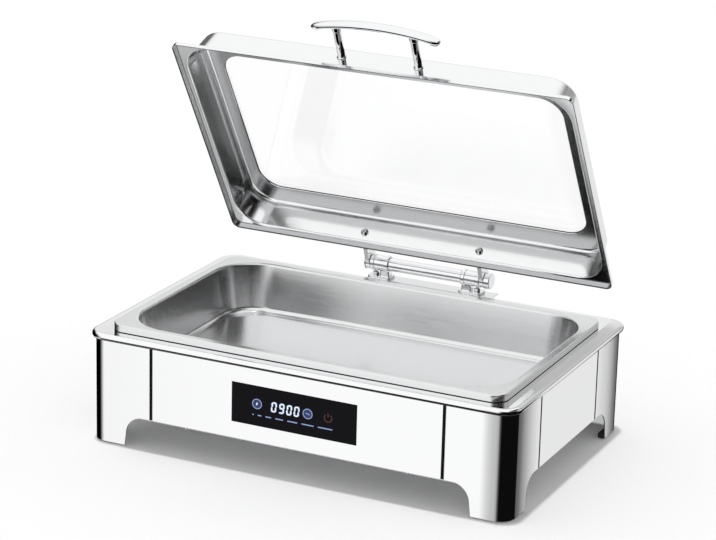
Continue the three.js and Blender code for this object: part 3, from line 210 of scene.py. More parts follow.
def arc(centre, radius, start, end, steps=FOLD_STEPS):
    """Points of an arc in a profile, with its angles in degrees."""
    angles = [radians(start + (end - start) * i / steps) for i in range(steps + 1)]
    return [(centre[0] + radius * cos(a), centre[1] + radius * sin(a)) for a in angles]


def bent_sheet(corners, thickness):
    """Outline of a bent sheet to the left of a row of corners, given as x, y and bend radius."""
    near, far = [], []
    points = [Vector(c[:2]) for c in corners]
    for i, p in enumerate(points):
        before = (p - points[i - 1]).normalized() if i else None
        after = (points[i + 1] - p).normalized() if i + 1 < len(points) else None
        if before is None or after is None:
            way = after or before
            near.append(p)
            far.append(p + Vector((-way.y, way.x)) * thickness)
            continue
        radius = corners[i][2]
        turn = atan2(before.x * after.y - before.y * after.x, before.dot(after))
        side = 1 if turn > 0 else -1
        inward = side * Vector((-before.y, before.x))
        centre = p - before * radius * tan(abs(turn) / 2) + inward * radius
        count = max(FOLD_STEPS, round(FOLD_STEPS * radius / CASING["fold"] / 2))
        for step in range(count + 1):
            spoke = Matrix.Rotation(turn * step / count, 2) @ -inward
            near.append(centre + spoke * radius)
            far.append(centre + spoke * (radius - side * thickness))
    return [tuple(p) for p in near + far[::-1]]


def swept(bases, profile, closed=True):
    """Rings through a profile of base name, offset and height round rounded rectangles."""
    rings = []
    for base, offset, z in profile:
        half_x, half_y, radius, y = (*bases[base], 0.0)[:4]
        rings.append(rounded(half_x + offset, half_y + offset, radius + offset, z, y))
    return loft(rings, closed)


def on(base, pairs):
    return [(base, offset, z) for offset, z in pairs]


# Meshes and pieces
def linked(name, points, faces):
    """New object in the scene with these points and faces."""
    mesh = bpy.data.meshes.new(name)
    mesh.from_pydata([tuple(p) for p in points], [], faces)
    made = bpy.data.objects.new(name, mesh)
    bpy.context.scene.collection.objects.link(made)
    return made


def mesh_object(name, shell):
    """One object with its doubles merged and its faces outwards, still in millimetres."""
    made = linked(name, *shell)
    work = bmesh.new()
    work.from_mesh(made.data)
    bmesh.ops.remove_doubles(work, verts=work.verts, dist=1e-4)
    bmesh.ops.recalc_face_normals(work, faces=work.faces)
    work.to_mesh(made.data)
    work.free()
    return made


def bake(obj):
    """The object's modifiers become its plain mesh."""
    state = obj.evaluated_get(bpy.context.evaluated_depsgraph_get())
    mesh = bpy.data.meshes.new_from_object(state)
    obj.modifiers.clear()
    obj.data = mesh


def fused(name, shells, cutters=()):
    """Closed shells joined into one, with the cutters taken out of it."""
    whole = mesh_object(name, shells[0])
    steps = [(s, "UNION") for s in shells[1:]] + [(c, "DIFFERENCE") for c in cutters]
    for shell, operation in steps:
        tool = mesh_object("tool", shell)
        cut = whole.modifiers.new(operation, "BOOLEAN")
        cut.object, cut.operation, cut.solver = tool, operation, "EXACT"
        bake(whole)
        bpy.data.objects.remove(tool)
    return whole


def handed_over(obj, body, nodes):
    """Shades a mesh that is in its place in metres, and hands the piece to the frame."""
    obj.data.polygons.foreach_set("use_smooth", [True] * len(obj.data.polygons))
    obj.data.set_sharp_from_angle(angle=CREASE)
    if nodes:
        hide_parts(*nodes)
    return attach(obj, body)


def finished(obj, place, finish, body, nodes=(), edge=0.0, painted_shade=None, darker=None):
    """Rounds the edges, puts the mesh in its place in metres and hands the piece to the frame.

    The two tests, by middle and normal in millimetres, pick faces for painted shade: the first for near black
    shade, darker for grey shade. The first slot holds the finish.
    """
    if edge:
        rounding = obj.modifiers.new("rounding", "BEVEL")
        rounding.width, rounding.segments = edge, 3
        rounding.limit_method, rounding.angle_limit = "ANGLE", BEVEL_ANGLE
        bake(obj)
    faces = [(face.center, face.normal) for face in obj.data.polygons]
    painted_shade_slots = [2 if darker and darker(*face) else 1 if painted_shade and painted_shade(*face) else 0 for face in faces]
    obj.data.transform(METRES @ place)
    if place.determinant() < 0:
        obj.data.flip_normals()
    obj.data.materials.clear()
    # the finish, then the near black and the grey steels of painted shade
    for name in (finish, "scaled_steel", "brushed_steel")[:max(painted_shade_slots) + 1]:
        obj.data.materials.append(finishes[name])
    obj.data.polygons.foreach_set("material_index", painted_shade_slots)
    obj.modifiers.new("weigh", "WEIGHTED_NORMAL").keep_sharp = True
    return handed_over(obj, body, nodes)


def outward(p, half_x, half_y, radius):
    """Depth of a point inside a rounded rectangle, and the way out from it."""
    x, y = abs(p.x), abs(p.y)
    past_x, past_y = x - half_x + radius, y - half_y + radius
    if past_x > 0 and past_y > 0:
        reach = hypot(past_x, past_y)
        depth, way = radius - reach, (past_x / reach, past_y / reach)
    elif half_x - x < half_y - y:
        depth, way = half_x - x, (1, 0)
    else:
        depth, way = half_y - y, (0, 1)
    return depth, Vector((copysign(way[0], p.x), copysign(way[1], p.y), 0))


# Node helpers
def add(tree, kind, inputs=None, **settings):
    """A node with its settings, and its inputs given as values or as sockets to link from."""
    made = tree.nodes.new(kind)
    for key, value in settings.items():
        setattr(made, key, value)
    for key, value in (inputs or {}).items():
        if isinstance(value, bpy.types.NodeSocket):
            tree.links.new(value, made.inputs[key])
        else:
            made.inputs[key].default_value = value
    return made


def result(tree, kind, inputs=None, **settings):
    """First output of a new node."""
    return add(tree, kind, inputs, **settings).outputs[0]


def maths(tree, operation, a, b):
    return result(tree, "ShaderNodeMath", {0: a, 1: b}, operation=operation)


def rgba(colour):
    return (*colour, 1.0)


def blank(name):
    """A material with an empty tree, and its output."""
    material = bpy.data.materials.new(name)
    material.use_nodes = True
    material.node_tree.nodes.clear()
    return material, material.node_tree, add(material.node_tree, "ShaderNodeOutputMaterial")


def grained(name, colour, roughness, metallic=0, grain=(60, 60, 60), depth=0, spread=0, tint=0, sockets=None):
    """Procedural finish: grain in colour, roughness and bump, on the piece's own coordinates.

    The grain is a noise with that many repeats per metre along each axis. The depth of its bump is
    in metres.
    """
    material, tree, output = blank(name)
    plain = {"Base Color": rgba(colour), "Roughness": roughness, "Metallic": metallic, **(sockets or {})}
    shader = add(tree, "ShaderNodeBsdfPrincipled", plain)
    place = add(tree, "ShaderNodeTexCoord").outputs["Object"]
    stretch = result(tree, "ShaderNodeMapping", {"Vector": place, "Scale": grain})
    fine = result(tree, "ShaderNodeTexNoise", {
        "Vector": stretch, "Scale": 1.0, "Detail": 5.0, "Roughness": 0.6})
    if spread:
        rough = result(tree, "ShaderNodeMapRange", {
            "Value": fine, "From Min": 0.3, "From Max": 0.7,
            "To Min": roughness - spread, "To Max": roughness + spread})
        tree.links.new(rough, shader.inputs["Roughness"])
    if tint:
        darker, lighter = [c * (1 - tint) for c in colour], [min(1, c * (1 + tint)) for c in colour]
        shade = add(tree, "ShaderNodeMix", {
            "Factor": fine, 6: rgba(darker), 7: rgba(lighter)}, data_type="RGBA")
        tree.links.new(shade.outputs[2], shader.inputs["Base Color"])
    if depth:
        bump = result(tree, "ShaderNodeBump", {"Height": fine, "Distance": depth, "Strength": 1.0})
        tree.links.new(bump, shader.inputs["Normal"])
    tree.links.new(shader.outputs["BSDF"], output.inputs["Surface"])
    return material


# Finishes
finishes = {}
for name, *row in [
    # name, colour, roughness, metallic, grain, and depth, spread and tint of the grain
    ("polished_steel", (0.955, 0.958, 0.962), 0.045, 1, (420, 420, 420), 0, 0.012, 0.004),
    ("lid_steel", (0.93, 0.935, 0.94), 0.15, 1, (300, 300, 300), 0, 0.03, 0.006),
    # darker grey: painted shade on the inside of the legs, the ring round the window and the inside of the
    # lid's lip
    ("brushed_steel", (0.56, 0.565, 0.57), 0.2, 1, (300, 300, 300), 0, 0.03, 0.01),
    # near black: painted shade for seams, cut edges, the rim's underside and screw sockets
    ("scaled_steel", (0.1, 0.1, 0.105), 0.55, 0.7, (500, 500, 500), 1e-5, 0.08, 0.1),
    ("satin_steel", (0.86, 0.865, 0.87), 0.22, 1, (30, 260, 260), 0, 0.03, 0.012),
    ("bracket_steel", (0.9, 0.905, 0.91), 0.2, 1, (60, 700, 700), 3e-6, 0.05, 0.02),
    ("chrome", (0.93, 0.935, 0.945), 0.035, 1, (300, 300, 300), 0, 0.012, 0.004),
    ("zinc_steel", (0.7, 0.71, 0.72), 0.14, 1, (260, 260, 260), 2e-6, 0.05, 0.05),
    ("aluminium", (0.66, 0.67, 0.69), 0.4, 1, (30, 1200, 1200), 6e-6, 0.06, 0.03),
    ("black_glass", (0.006, 0.006, 0.008), 0.05, 0, (200, 200, 200), 0, 0.015, 0.1, {
        "IOR": 1.45, "Specular IOR Level": 0.06}),
    ("clear_glass", (0.998, 1.0, 1.0), 0.0, 0, (4, 4, 4), 2e-6, 0, 0, {
        "Transmission Weight": 1.0, "IOR": 1.45}),
    ("black_rubber", (0.02, 0.02, 0.02), 0.75, 0, (700, 700, 700), 3e-5, 0.1, 0.3),
    ("black_plastic", (0.025, 0.025, 0.028), 0.45, 0, (1100, 1100, 1100), 2e-5, 0.08, 0.2),
    ("white_plastic", (0.75, 0.74, 0.7), 0.4, 0, (900, 900, 900), 1e-5, 0.06, 0.03),
    ("ceramic_fibre", (0.78, 0.76, 0.7), 0.95, 0, (220, 900, 220), 3e-4, 0, 0.12),
    ("board_green", (0.03, 0.13, 0.06), 0.35, 0, (500, 500, 500), 1e-5, 0.08, 0.35),
    ("relay_blue", (0.05, 0.12, 0.4), 0.3, 0, (700, 700, 700), 1e-5, 0.08, 0.1),
]:
    finishes[name] = grained(name, *row)
# lit print behind glass, a little uneven as diffused light is
for name, colour, strength in [
    ("display_white", (0.74, 0.84, 1.0), 1.0), ("display_pale", (0.26, 0.34, 0.62), 1.0),
    ("display_blue", (0.02, 0.04, 0.2), 0.5), ("display_red", (0.1, 0.012, 0.008), 0.6),
]:
    finishes[name] = grained(name, (0.02, 0.02, 0.02), 0.4, grain=(900, 900, 900), tint=0.2, sockets={
        "Emission Color": rgba(colour), "Emission Strength": strength})

# Casing
inner_x, inner_y = FRONT_HALF + SEAM, SIDE_HALF + SEAM  # seam ends of a post's two faces
fold, turn_in, edge = CASING["fold"], CASING["return"], CASING["edge"]
post_plan = bent_sheet([
    (HALF_X - turn_in, inner_y, 0), (HALF_X, inner_y, fold), (HALF_X, HALF_Y, CASING["corner"]),
    (inner_x, HALF_Y, fold), (inner_x, HALF_Y - turn_in, 0)], CASING["post"])
foot_outer = HALF_X - CASING["post"] - GAP
foot_inner, foot_round = foot_outer - FOOT["width"], FOOT["round"]
foot_start, foot_end = HALF_Y - LEG["width"] + FOOT["back"], HALF_Y - CASING["corner"]
foot_plan = [
    (foot_outer, foot_start), (foot_outer, foot_end),
    *arc((foot_inner + foot_round, foot_end - foot_round), foot_round, 90, 180, 8),
    *arc((foot_inner + foot_round, foot_start + foot_round), foot_round, 180, 270, 8)]


def arch(corner, seam):
    """Outline cut from one face of a post: the space beside the leg, with its rounded top."""
    leg_edge, past_seam = corner - LEG["width"], seam - OVERRUN
    centre = (leg_edge - LEG["taper"] - LEG["arch"], PANEL_BOTTOM - LEG["arch"])
    return [
        (past_seam, -OVERRUN), (past_seam, PANEL_BOTTOM), *arc(centre, LEG["arch"], 90, 0, ARCH_STEPS),
        (leg_edge, FOOT_PROUD), (leg_edge, -OVERRUN)]


def post_painted_shade(middle, normal):
    """Painted shade, near black, on cut edges, seam returns and everything behind the middle of the sheet."""
    depth, way = outward(middle, HALF_X, HALF_Y, CASING["corner"])
    return depth > 0.6 * CASING["post"] or normal.dot(way) < 0.5


# painted shade in darker grey on a post's inside faces
def post_inside(middle, normal):
    depth, way = outward(middle, HALF_X, HALF_Y, CASING["corner"])
    return depth < CASING["post"] + 0.5 and normal.dot(way) < -0.9


for end, sy in ENDS.items():
    for side, sx in SIDES.items():
        corner = BODY @ mirrored(sx, sy)
        past_fold = turn_in + OVERRUN
        cutters = [
            moved(extruded(arch(HALF_X, inner_x), HALF_Y - past_fold, HALF_Y + OVERRUN), ALONG_Y),
            moved(extruded(arch(HALF_Y, inner_y), HALF_X - past_fold, HALF_X + OVERRUN), ALONG_X)]
        post = fused(f"leg_post_{end}_{side}", [extruded(post_plan, FOOT_PROUD, PANEL_TOP)], cutters)
        finished(post, corner, "polished_steel", "base", [f"corner_post_{end}_{side}"], edge=edge,
                 painted_shade=post_painted_shade, darker=post_inside)
        rubber = mesh_object(f"rubber_foot_{end}_{side}", extruded(foot_plan, 0, FOOT["height"]))
        finished(rubber, corner, "black_rubber", "base", [f"foot_{end}_{side}"], edge=FOOT["edge"])


def panel(name, half, place, node, cutters=()):
    """Panel with both seams and its lower edge folded inwards, its face at y = 0 towards -Y."""
    sheet = CASING["panel"]
    plan = bent_sheet([(-half, turn_in, 0), (-half, 0, fold), (half, 0, fold), (half, turn_in, 0)], sheet)
    lower = block((-half + sheet / 2, sheet / 2, 0), (half - sheet / 2, CASING["lower"], sheet))
    made = fused(name, [extruded(plan, 0, PANEL_TOP - PANEL_BOTTOM), lower], cutters)
    # cut edges, seam returns and the back of the sheet get near black painted shade
    finished(made, BODY @ place @ shifted(z=PANEL_BOTTOM), "polished_steel", "base", [node], edge=edge,
             painted_shade=lambda middle, normal: middle.y > 0.75 * sheet or normal.y > -0.5)


def standing(x, y, turn):
    return shifted(x, y) @ Matrix.Rotation(turn, 4, "Z")


def opening(x, z, half_x, half_z):
    """Cutter for a rectangular opening in a panel, with its middle's height above the floor."""
    z -= PANEL_BOTTOM
    return block((x - half_x, -OVERRUN, z - half_z), (x + half_x, OVERRUN, z + half_z))


glass_x, glass_z = glass_high.x, (glass_high.z + glass_low.z) / 2
glass_half = (glass_high.z - glass_low.z) / 2
aperture = opening(0, glass_z, glass_x + CONTROL["play"], glass_half + CONTROL["play"])
inlet_hole = opening(-INLET["x"], INLET["z"], *(half + GAP for half in INLET["body"][:2]))
panel("panel_front", FRONT_HALF, standing(0, -HALF_Y, 0), "front_panel", [aperture])
panel("panel_rear", FRONT_HALF, standing(0, HALF_Y, pi), "rear_panel", [inlet_hole])
panel("panel_right", SIDE_HALF, standing(HALF_X, 0, pi / 2), "right_panel")
panel("panel_left", SIDE_HALF, standing(-HALF_X, 0, -pi / 2), "left_panel")

# Top frame: rolled rim, gutter and collar in one sheet
roll, sheet, gutter, rim_lip = RIM["roll"], RIM["sheet"], RIM["gutter"], RIM["lip"]
roll_centre = (RIM["reach"], RIM_BOTTOM + roll)
ROLL_END = 106  # degrees, where the roll meets the gutter
bases = {
    "rim": (HALF_X, HALF_Y, CASING["corner"], 0.0),
    "collar": (COLLAR["x"], COLLAR["y"], COLLAR["radius"], PAN_SHIFT),
    "pan": (PAN_X, PAN_Y, PAN["corner"], PAN_SHIFT),
    "open": (PAN_X - PAN["brim"], PAN_Y - PAN["brim"], PAN["open"], PAN_SHIFT),
    "floor": (PAN_X - PAN["brim"] - PAN["lean"], PAN_Y - PAN["brim"] - PAN["lean"], PAN["floor"], PAN_SHIFT),
}
channel, lip_end, bend = COLLAR["channel"], COLLAR_TOP - COLLAR["lip"], COLLAR["bend"]
frame_profile = [
    ("rim", -rim_lip, RIM_BOTTOM),
    *on("rim", arc(roll_centre, roll, -90, ROLL_END, 22)),
    ("rim", -RIM["foot"], gutter),
    ("collar", COLLAR["flare"], gutter),
    *on("collar", arc((bend, gutter + bend), bend, -90, -180)),
    *on("collar", arc((-bend, COLLAR_TOP - bend), bend, 0, 90)),
    *on("collar", arc((bend - channel, COLLAR_TOP - bend), bend, 90, 180)),
    ("collar", -channel, lip_end),
    ("collar", sheet - channel, lip_end),
    ("collar", sheet - channel, COLLAR_TOP - sheet),
    ("collar", -sheet, COLLAR_TOP - sheet),
    ("collar", -sheet, gutter - sheet),
    ("rim", -RIM["foot"], gutter - sheet),
    *on("rim", arc(roll_centre, roll - sheet, ROLL_END, -90, 14)),
    ("rim", -rim_lip, RIM_BOTTOM + sheet),
]


def frame_painted_shade(middle, normal):
    """Painted shade, near black, on the underside of the rolled rim and on the collar under the pan's rim."""
    depth = outward(middle - Vector((0, PAN_SHIFT, 0)), PAN_X, PAN_Y, PAN["corner"])[0]
    return normal.z < -0.45 or depth > GAP


finished(mesh_object("rolled_top_frame", swept(bases, frame_profile)), BODY, "polished_steel", "base",
         ["top_frame"], painted_shade=frame_painted_shade)

# Food pan
t, fillet, mouth, pan_edge = PAN["sheet"], PAN["fillet"], PAN["mouth"], PAN["edge"]
pan_lip = PAN_TOP - PAN["lip"]
floor_centre, mouth_centre = (-fillet, PAN_BOTTOM + fillet), (mouth + t, PAN_TOP - mouth - t)
pan_profile = [
    *on("floor", arc(floor_centre, fillet, -90, 0, 8)),
    *on("open", arc(mouth_centre, mouth, 180, 90)),
    ("pan", -t, PAN_TOP - t),
    ("pan", -t, pan_lip),
    ("pan", 0, pan_lip),
    *on("pan", arc((-pan_edge, PAN_TOP - pan_edge), pan_edge, 0, 90)),
    *on("open", arc(mouth_centre, mouth + t, 90, 180, 7)),
    *on("floor", arc(floor_centre, fillet - t, 0, -90, 8)),
]


def pan_painted_shade(middle, normal):
    """Painted shade, near black, along the cut edge of the rim."""
    return pan_lip - 1 < middle.z < pan_lip + 0.3 and normal.z < -0.5


finished(mesh_object("food_pan_1_1", swept(bases, pan_profile, closed=False)), BODY, "satin_steel", "base",
         ["food_pan"], painted_shade=pan_painted_shade)

# Lid: shell, gasket and glass, drawn with the flange's underside at z = 0
lid_bases = {name: LID[name] for name in ("flange", "well", "recess", "window")}
t, draft, height, lid_round = LID["sheet"], LID["draft"], LID["height"], LID["round"]
lid_edge, lid_fillet, ledge, lip_foot = LID["edge"], LID["fillet"], LID["ledge"], -LID["lip"]
shelf, burr = height - LID["drop"], lip_foot + LID["burr"]
ledge_inside = ledge - 0.2
crown = (-draft - lid_round, height - lid_round)
lid_profile = [
    ("flange", 0, lip_foot),
    *on("flange", arc((-lid_edge, t - lid_edge), lid_edge, 0, 90)),
    *on("well", arc((lid_fillet, t + lid_fillet), lid_fillet, -90, -180)),
    *on("well", arc(crown, lid_round, 0, 90, 10)),
    *on("recess", arc((ledge, height - ledge), ledge, 90, 180, 3)),
    ("recess", 0, shelf),
    ("window", 0, shelf),
    ("window", 0, shelf - t),
    *on("recess", arc((t - ledge_inside, shelf - t + ledge_inside), ledge_inside, -90, 0, 3)),
    ("recess", t, height - t),
    *on("well", arc(crown, lid_round - t, 90, 0, 8)),
    *on("well", arc((lid_fillet, t + lid_fillet), lid_fillet + t, 180, 270)),
    ("flange", -t, 0),
    ("flange", -t, burr),
    ("flange", -t, lip_foot),
]


def lid_painted_shade(middle, normal):
    """Painted shade, near black, on the cut edge of the lip round the flange and on the burr inside it."""
    way = outward(middle, *LID["flange"])[1]
    return middle.z < burr and normal.dot(way) < 0.3


def lid_darker(middle, normal):
    """Painted shade in darker grey on the ring round the window, and on the inside of the lip above its burr.
    """
    way = outward(middle, *LID["flange"])[1]
    ring = middle.z > shelf - 2 * t and normal.z < -0.9
    return ring or burr < middle.z < 0.3 and normal.dot(way) < -0.5


finished(mesh_object("lid_sheet", swept(lid_bases, lid_profile)), COVER, "lid_steel", "lid", ["lid_shell"],
         painted_shade=lid_painted_shade, darker=lid_darker)

seat = shelf + GAP
gasket_bases = {"edge": tuple(v - GAP for v in LID["recess"]), "window": LID["window"]}
r, gasket_lip, over_glass = GASKET["round"], GASKET["lip"], -GASKET["over_glass"]
gasket_top, gasket_floor = height - GAP - r, seat + GASKET["floor"]
gasket_profile = [
    ("edge", 0, seat), *on("edge", arc((-r, gasket_top), r, 0, 90, 3)),
    *on("edge", arc((r - gasket_lip, gasket_top), r, 90, 180, 3)), ("edge", -gasket_lip, gasket_floor),
    ("window", over_glass, gasket_floor), ("window", over_glass, seat)]
finished(mesh_object("glass_seal", swept(gasket_bases, gasket_profile)), COVER, "black_rubber", "lid",
         ["window_gasket"])
pane_low, pane_high = gasket_floor + GAP, gasket_floor + GAP + LID["pane"]
pane_in = -gasket_lip - GAP - r
pane_profile = [
    *on("edge", arc((pane_in, pane_low + r), r, -90, 0, 3)),
    *on("edge", arc((pane_in, pane_high - r), r, 0, 90, 3))]
finished(mesh_object("window_pane", swept(gasket_bases, pane_profile, closed=False)), COVER, "clear_glass",
         "lid", ["window_glass"])

# Handle
lid_low = LID["sheet"] + LID["fillet"]
wall_rise = height - lid_round - lid_low
LEAN = atan2(draft, wall_rise)


def wall_reach(z):
    """Distance of the lid's front and rear walls from its middle, at a height above the flange."""
    return LID["well"][1] - draft * (z - lid_low) / wall_rise


def on_wall(side, across, z):
    """Place square on the lid's front (-1) or rear (1) wall, at a height above the flange."""
    return COVER @ shifted(across, side * wall_reach(z), z) @ Matrix.Rotation(side * (LEAN - pi / 2), 4, "X")


def at_handle(sx):
    """Place on the lid's front wall of the handle's left (-1) or right (1) post, or between them (0)."""
    return on_wall(-1, HANDLE["middle"] + sx * HANDLE["spacing"] / 2, HANDLE["height"])


post, length = HANDLE["post"], HANDLE["length"]
ring, ring_high = HANDLE["collar"]
spigot, spigot_long = HANDLE["spigot"]
ring_edge, post_edge = HANDLE["edges"]
post_profile = [
    (0, 0), (ring - ring_edge, 0), (ring, ring_edge), (ring, ring_high / 2),
    (post + ring_edge, ring_high - post_edge), (post, ring_high), (post, length - post_edge),
    (post - post_edge, length), (spigot, length),
    (spigot, length + spigot_long), (0, length + spigot_long)]


def grip_shell():
    """Bow of the grip: widest and thickest in the middle, with both tips hooked towards the lid."""
    reach = GRIP["length"] / 2
    hook_depth, from_tip, hook_reach = GRIP["hook"]
    (tip_width, mid_width), (tip_thick, mid_thick) = GRIP["width"], GRIP["thick"]
    post_drop = GRIP["rise"] * (1 - (HANDLE["spacing"] / GRIP["length"]) ** 2)
    stations = []
    for step in range(GRIP["steps"] + 1):
        along = -cos(pi * step / GRIP["steps"])
        x = reach * along
        share = 1 - along ** 2
        full = sqrt(max(1 - along ** GRIP["fullness"], 0.0))
        width = (tip_width + (mid_width - tip_width) * share) * full
        thick = tip_thick + (mid_thick - tip_thick) * share
        middle = GRIP["stand"] + GRIP["rise"] * share - post_drop + thick / 2
        hook = hook_depth * max(0.0, 1 - ((abs(x) - reach + from_tip) / hook_reach) ** 2) ** 2
        low, high = (thick / 2 + hook) * full, thick / 2 * full
        station = []
        for i in range(GRIP["sides"]):
            angle = 2 * pi * i / GRIP["sides"]
            c, s = cos(angle), sin(angle)
            across = width / 2 * copysign(abs(c) ** GRIP["squareness"], c)
            lift = (high if s > 0 else low) * copysign(abs(s) ** GRIP["squareness"], s)
            station.append((x, across, middle + lift))
        stations.append(station)
    return loft(stations)


def under_grip(shell):
    """The shell at both posts of the handle."""
    return [moved(shell, shifted(sx * HANDLE["spacing"] / 2)) for sx in SIDES.values()]


boss, boss_high, boss_edge = GRIP["boss"]
bosses = under_grip(turned([
    (0, 0), (boss - boss_edge, 0), (boss, boss_edge), (boss, boss_high), (0, boss_high)]))
sockets = under_grip(rod(spigot + GAP, -OVERRUN, spigot_long + GAP, BORE_SIDES))
finished(fused("bow_grip", [grip_shell(), *bosses], sockets), at_handle(0) @ shifted(z=length + 2 * GAP),
         "chrome", "lid", ["handle_grip"])
thread, thread_deep = HANDLE["thread"]
for side, sx in SIDES.items():
    bore = rod(thread, -OVERRUN, thread_deep, BORE_SIDES)
    finished(fused(f"grip_post_{side}", [turned(post_profile)], [bore]), at_handle(sx) @ shifted(z=GAP),
             "chrome", "lid", [f"handle_post_{side}"])

# Hinge
tube_radius, tube_half = (tube_high.z - tube_low.z) / 2, tube_high.x
tube_bore, tube_edge = tube_radius - HINGE["tube_wall"], HINGE["tube_edge"]
tube_profile = [
    (tube_radius - tube_edge, -tube_half), (tube_radius, tube_edge - tube_half),
    (tube_radius, tube_half - tube_edge), (tube_radius - tube_edge, tube_half), (tube_bore, tube_half),
    (tube_bore, -tube_half)]
AT_AXIS = BODY @ shifted(0, AXIS_Y, AXIS.z)
finished(mesh_object("damper_sleeve", moved(turned(tube_profile, closed=True), ALONG_X)), AT_AXIS, "chrome",
         "base", ["damper_tube"])

wall_face, bracket_end = bracket_low.y - MIDDLE_Y, bracket_high.y - MIDDLE_Y
bracket_start, bracket_top, step_z = bracket_end - BRACKET["reach"], bracket_high.z, BRACKET["step"]
upper_bend, inner_bend, lower_bend = BRACKET["bends"]
bracket_plan = bent_sheet([
    (bracket_end, bracket_top, 0), (bracket_start, bracket_top, upper_bend),
    (bracket_start, step_z, inner_bend), (wall_face, step_z, lower_bend), (wall_face, bracket_low.z, 0)],
    BRACKET["sheet"])
bracket = mesh_object("bent_bracket", moved(extruded(bracket_plan, bracket_low.x, bracket_high.x), ALONG_X))
finished(bracket, BODY, "bracket_steel", "base", ["hinge_bracket"], edge=BRACKET["edge"])

# Shapes of the hinge, from its axis and for the right side
inner, outer = HINGE["saddle"]
ring_radius, ring_edge = HINGE["ring"]
band, slope, groove = HINGE["band"]
half_ring = [
    (0, 0), (ring_radius - ring_edge, 0), (ring_radius, ring_edge), (ring_radius, band),
    (ring_radius - groove, band + slope)]
saddle_ring = [(r, inner + x) for r, x in half_ring] + [(r, outer - x) for r, x in half_ring[::-1]]
foot_long, foot_deep, foot_corner, foot_high = HINGE["foot"]
saddle_base = bracket_top + GAP - AXIS.z
neck_rings = [  # half sizes, corner radius and height
    (7.6, 6.6, 2.5, saddle_base + 1.5), (6.7, 5.7, 2.2, saddle_base + 4.2), (6.5, 5.5, 2, -9)]
neck = moved(loft([rounded(*row, steps=6) for row in neck_rings]), shifted(inner + neck_rings[-1][0] + GAP))
saddle_foot = moved(loft([
    rounded(foot_long / 2, foot_deep / 2, foot_corner, z, steps=8)
    for z in (saddle_base, saddle_base + foot_high)]), shifted((inner + outer) / 2))
saddle_bore = moved(rod(HINGE["bore"], inner - OVERRUN, outer + OVERRUN), ALONG_X)
arm_in, arm_out = HINGE["arm"]
pad_low, pad_high, pad_thick, pad_wide = HINGE["pad"]
eye, shaft, bolt_x = HINGE["eye"], HINGE["shaft"] + GAP, HINGE["bolt"][0]


def pad_at(z):
    """Point on the outside of the lid's rear wall, from the hinge axis, with the lid closed."""
    return wall_reach(z) + PAN_SHIFT - AXIS_Y + GAP, z + LID_SEAT - AXIS.z


pad_foot, pad_head = pad_at(pad_low), pad_at(pad_high)
web_outline = [
    pad_foot, (-eye * 0.6, -eye * 0.8), (eye * 0.8, -eye * 0.6), (eye * 0.25, eye * 0.965),
    (pad_head[0] + pad_thick / 2, pad_head[1]), pad_head]
pad_outline = [
    pad_foot, (pad_foot[0] + pad_thick, pad_foot[1]), (pad_head[0] + pad_thick, pad_head[1]), pad_head]
shaft_bore = moved(rod(shaft, arm_in - OVERRUN, arm_out + OVERRUN, 40), ALONG_X)
cap_start, cap_end = arm_out + GAP, mm_box("hinge_end_cap_right")[1].x
cap_face, disc_end = cap_end - HINGE["cap_face"], -mm_box("hinge_end_cap_left")[0].x


def cap_side(end, chamfer, bend):
    """Outside of an end cap, from its face beside the arm to its rounded end."""
    return [
        (ring_radius - chamfer, cap_start), (ring_radius, cap_start + chamfer),
        *arc((ring_radius - bend, end - bend), bend, 0, 90)]


cap_profiles = {
    "left": [(0, cap_start), *cap_side(disc_end, 0.2, 0.6), (0, disc_end)],
    "right": [
        (shaft, cap_start), *cap_side(cap_end, 0.5, 1.2), (0, cap_end), (0, cap_face), (shaft, cap_face)],
}
saddle_shapes = [moved(turned(saddle_ring), ALONG_X), neck, saddle_foot]
arm_shapes = [
    moved(rod(eye, arm_in, arm_out), ALONG_X),
    moved(extruded(web_outline, arm_in, arm_out), ALONG_X),
    moved(extruded(pad_outline, bolt_x - pad_wide / 2, bolt_x + pad_wide / 2), ALONG_X)]
for side, sx in SIDES.items():
    finished(fused(f"saddle_{side}", saddle_shapes, [saddle_bore]), AT_AXIS @ mirrored(sx), "chrome", "base",
             [f"hinge_saddle_{side}"], edge=HINGE["saddle_edge"])
    finished(fused(f"lid_arm_{side}", arm_shapes, [shaft_bore]), SWING @ mirrored(sx), "chrome", "lid",
             [f"hinge_arm_{side}"], edge=HINGE["arm_edge"])
    cap = mesh_object(f"end_cap_{side}", moved(turned(cap_profiles[side]), ALONG_X))
    finished(cap, SWING @ mirrored(sx), "chrome", "lid", [f"hinge_end_cap_{side}"])

# Control glass and mains inlet
touch = mesh_object("touch_pane", slab(
    (glass_x, glass_half, CONTROL["corner"]), glass_low.y - MIDDLE_Y, glass_high.y - MIDDLE_Y, 6))
finished(touch, BODY @ shifted(z=glass_z), "black_glass", "base", ["touch_glass"], edge=CONTROL["edge"])

flange_thick = INLET["thick"]
pin_low = flange_thick - INLET["socket_deep"]
inlet_shell = fused("mains_inlet", [
    slab(INLET["flange"], 0, flange_thick, 8), slab(INLET["body"], -INLET["deep"], flange_thick / 2, 4),
], [slab(INLET["socket"], pin_low, flange_thick + OVERRUN, 6)])
inlet_place = BODY @ shifted(INLET["x"], HALF_Y + GAP, INLET["z"])
finished(inlet_shell, inlet_place, "black_plastic", "base", ["power_inlet"], edge=INLET["edge"])
pin_end, tip_long = pin_low + PINS["length"], PINS["tip_long"]
pin = loft([rounded(*half, PINS["corner"], y, steps=3) for half, y in (
    (PINS["half"], pin_low - GAP), (PINS["half"], pin_end), (PINS["tip"], pin_end + tip_long))])
finished(fused("inlet_pins", [
    moved(pin, shifted(x, 0, z) @ ALONG_Y) for x, z in PINS["places"]]), inlet_place, "chrome", "base")

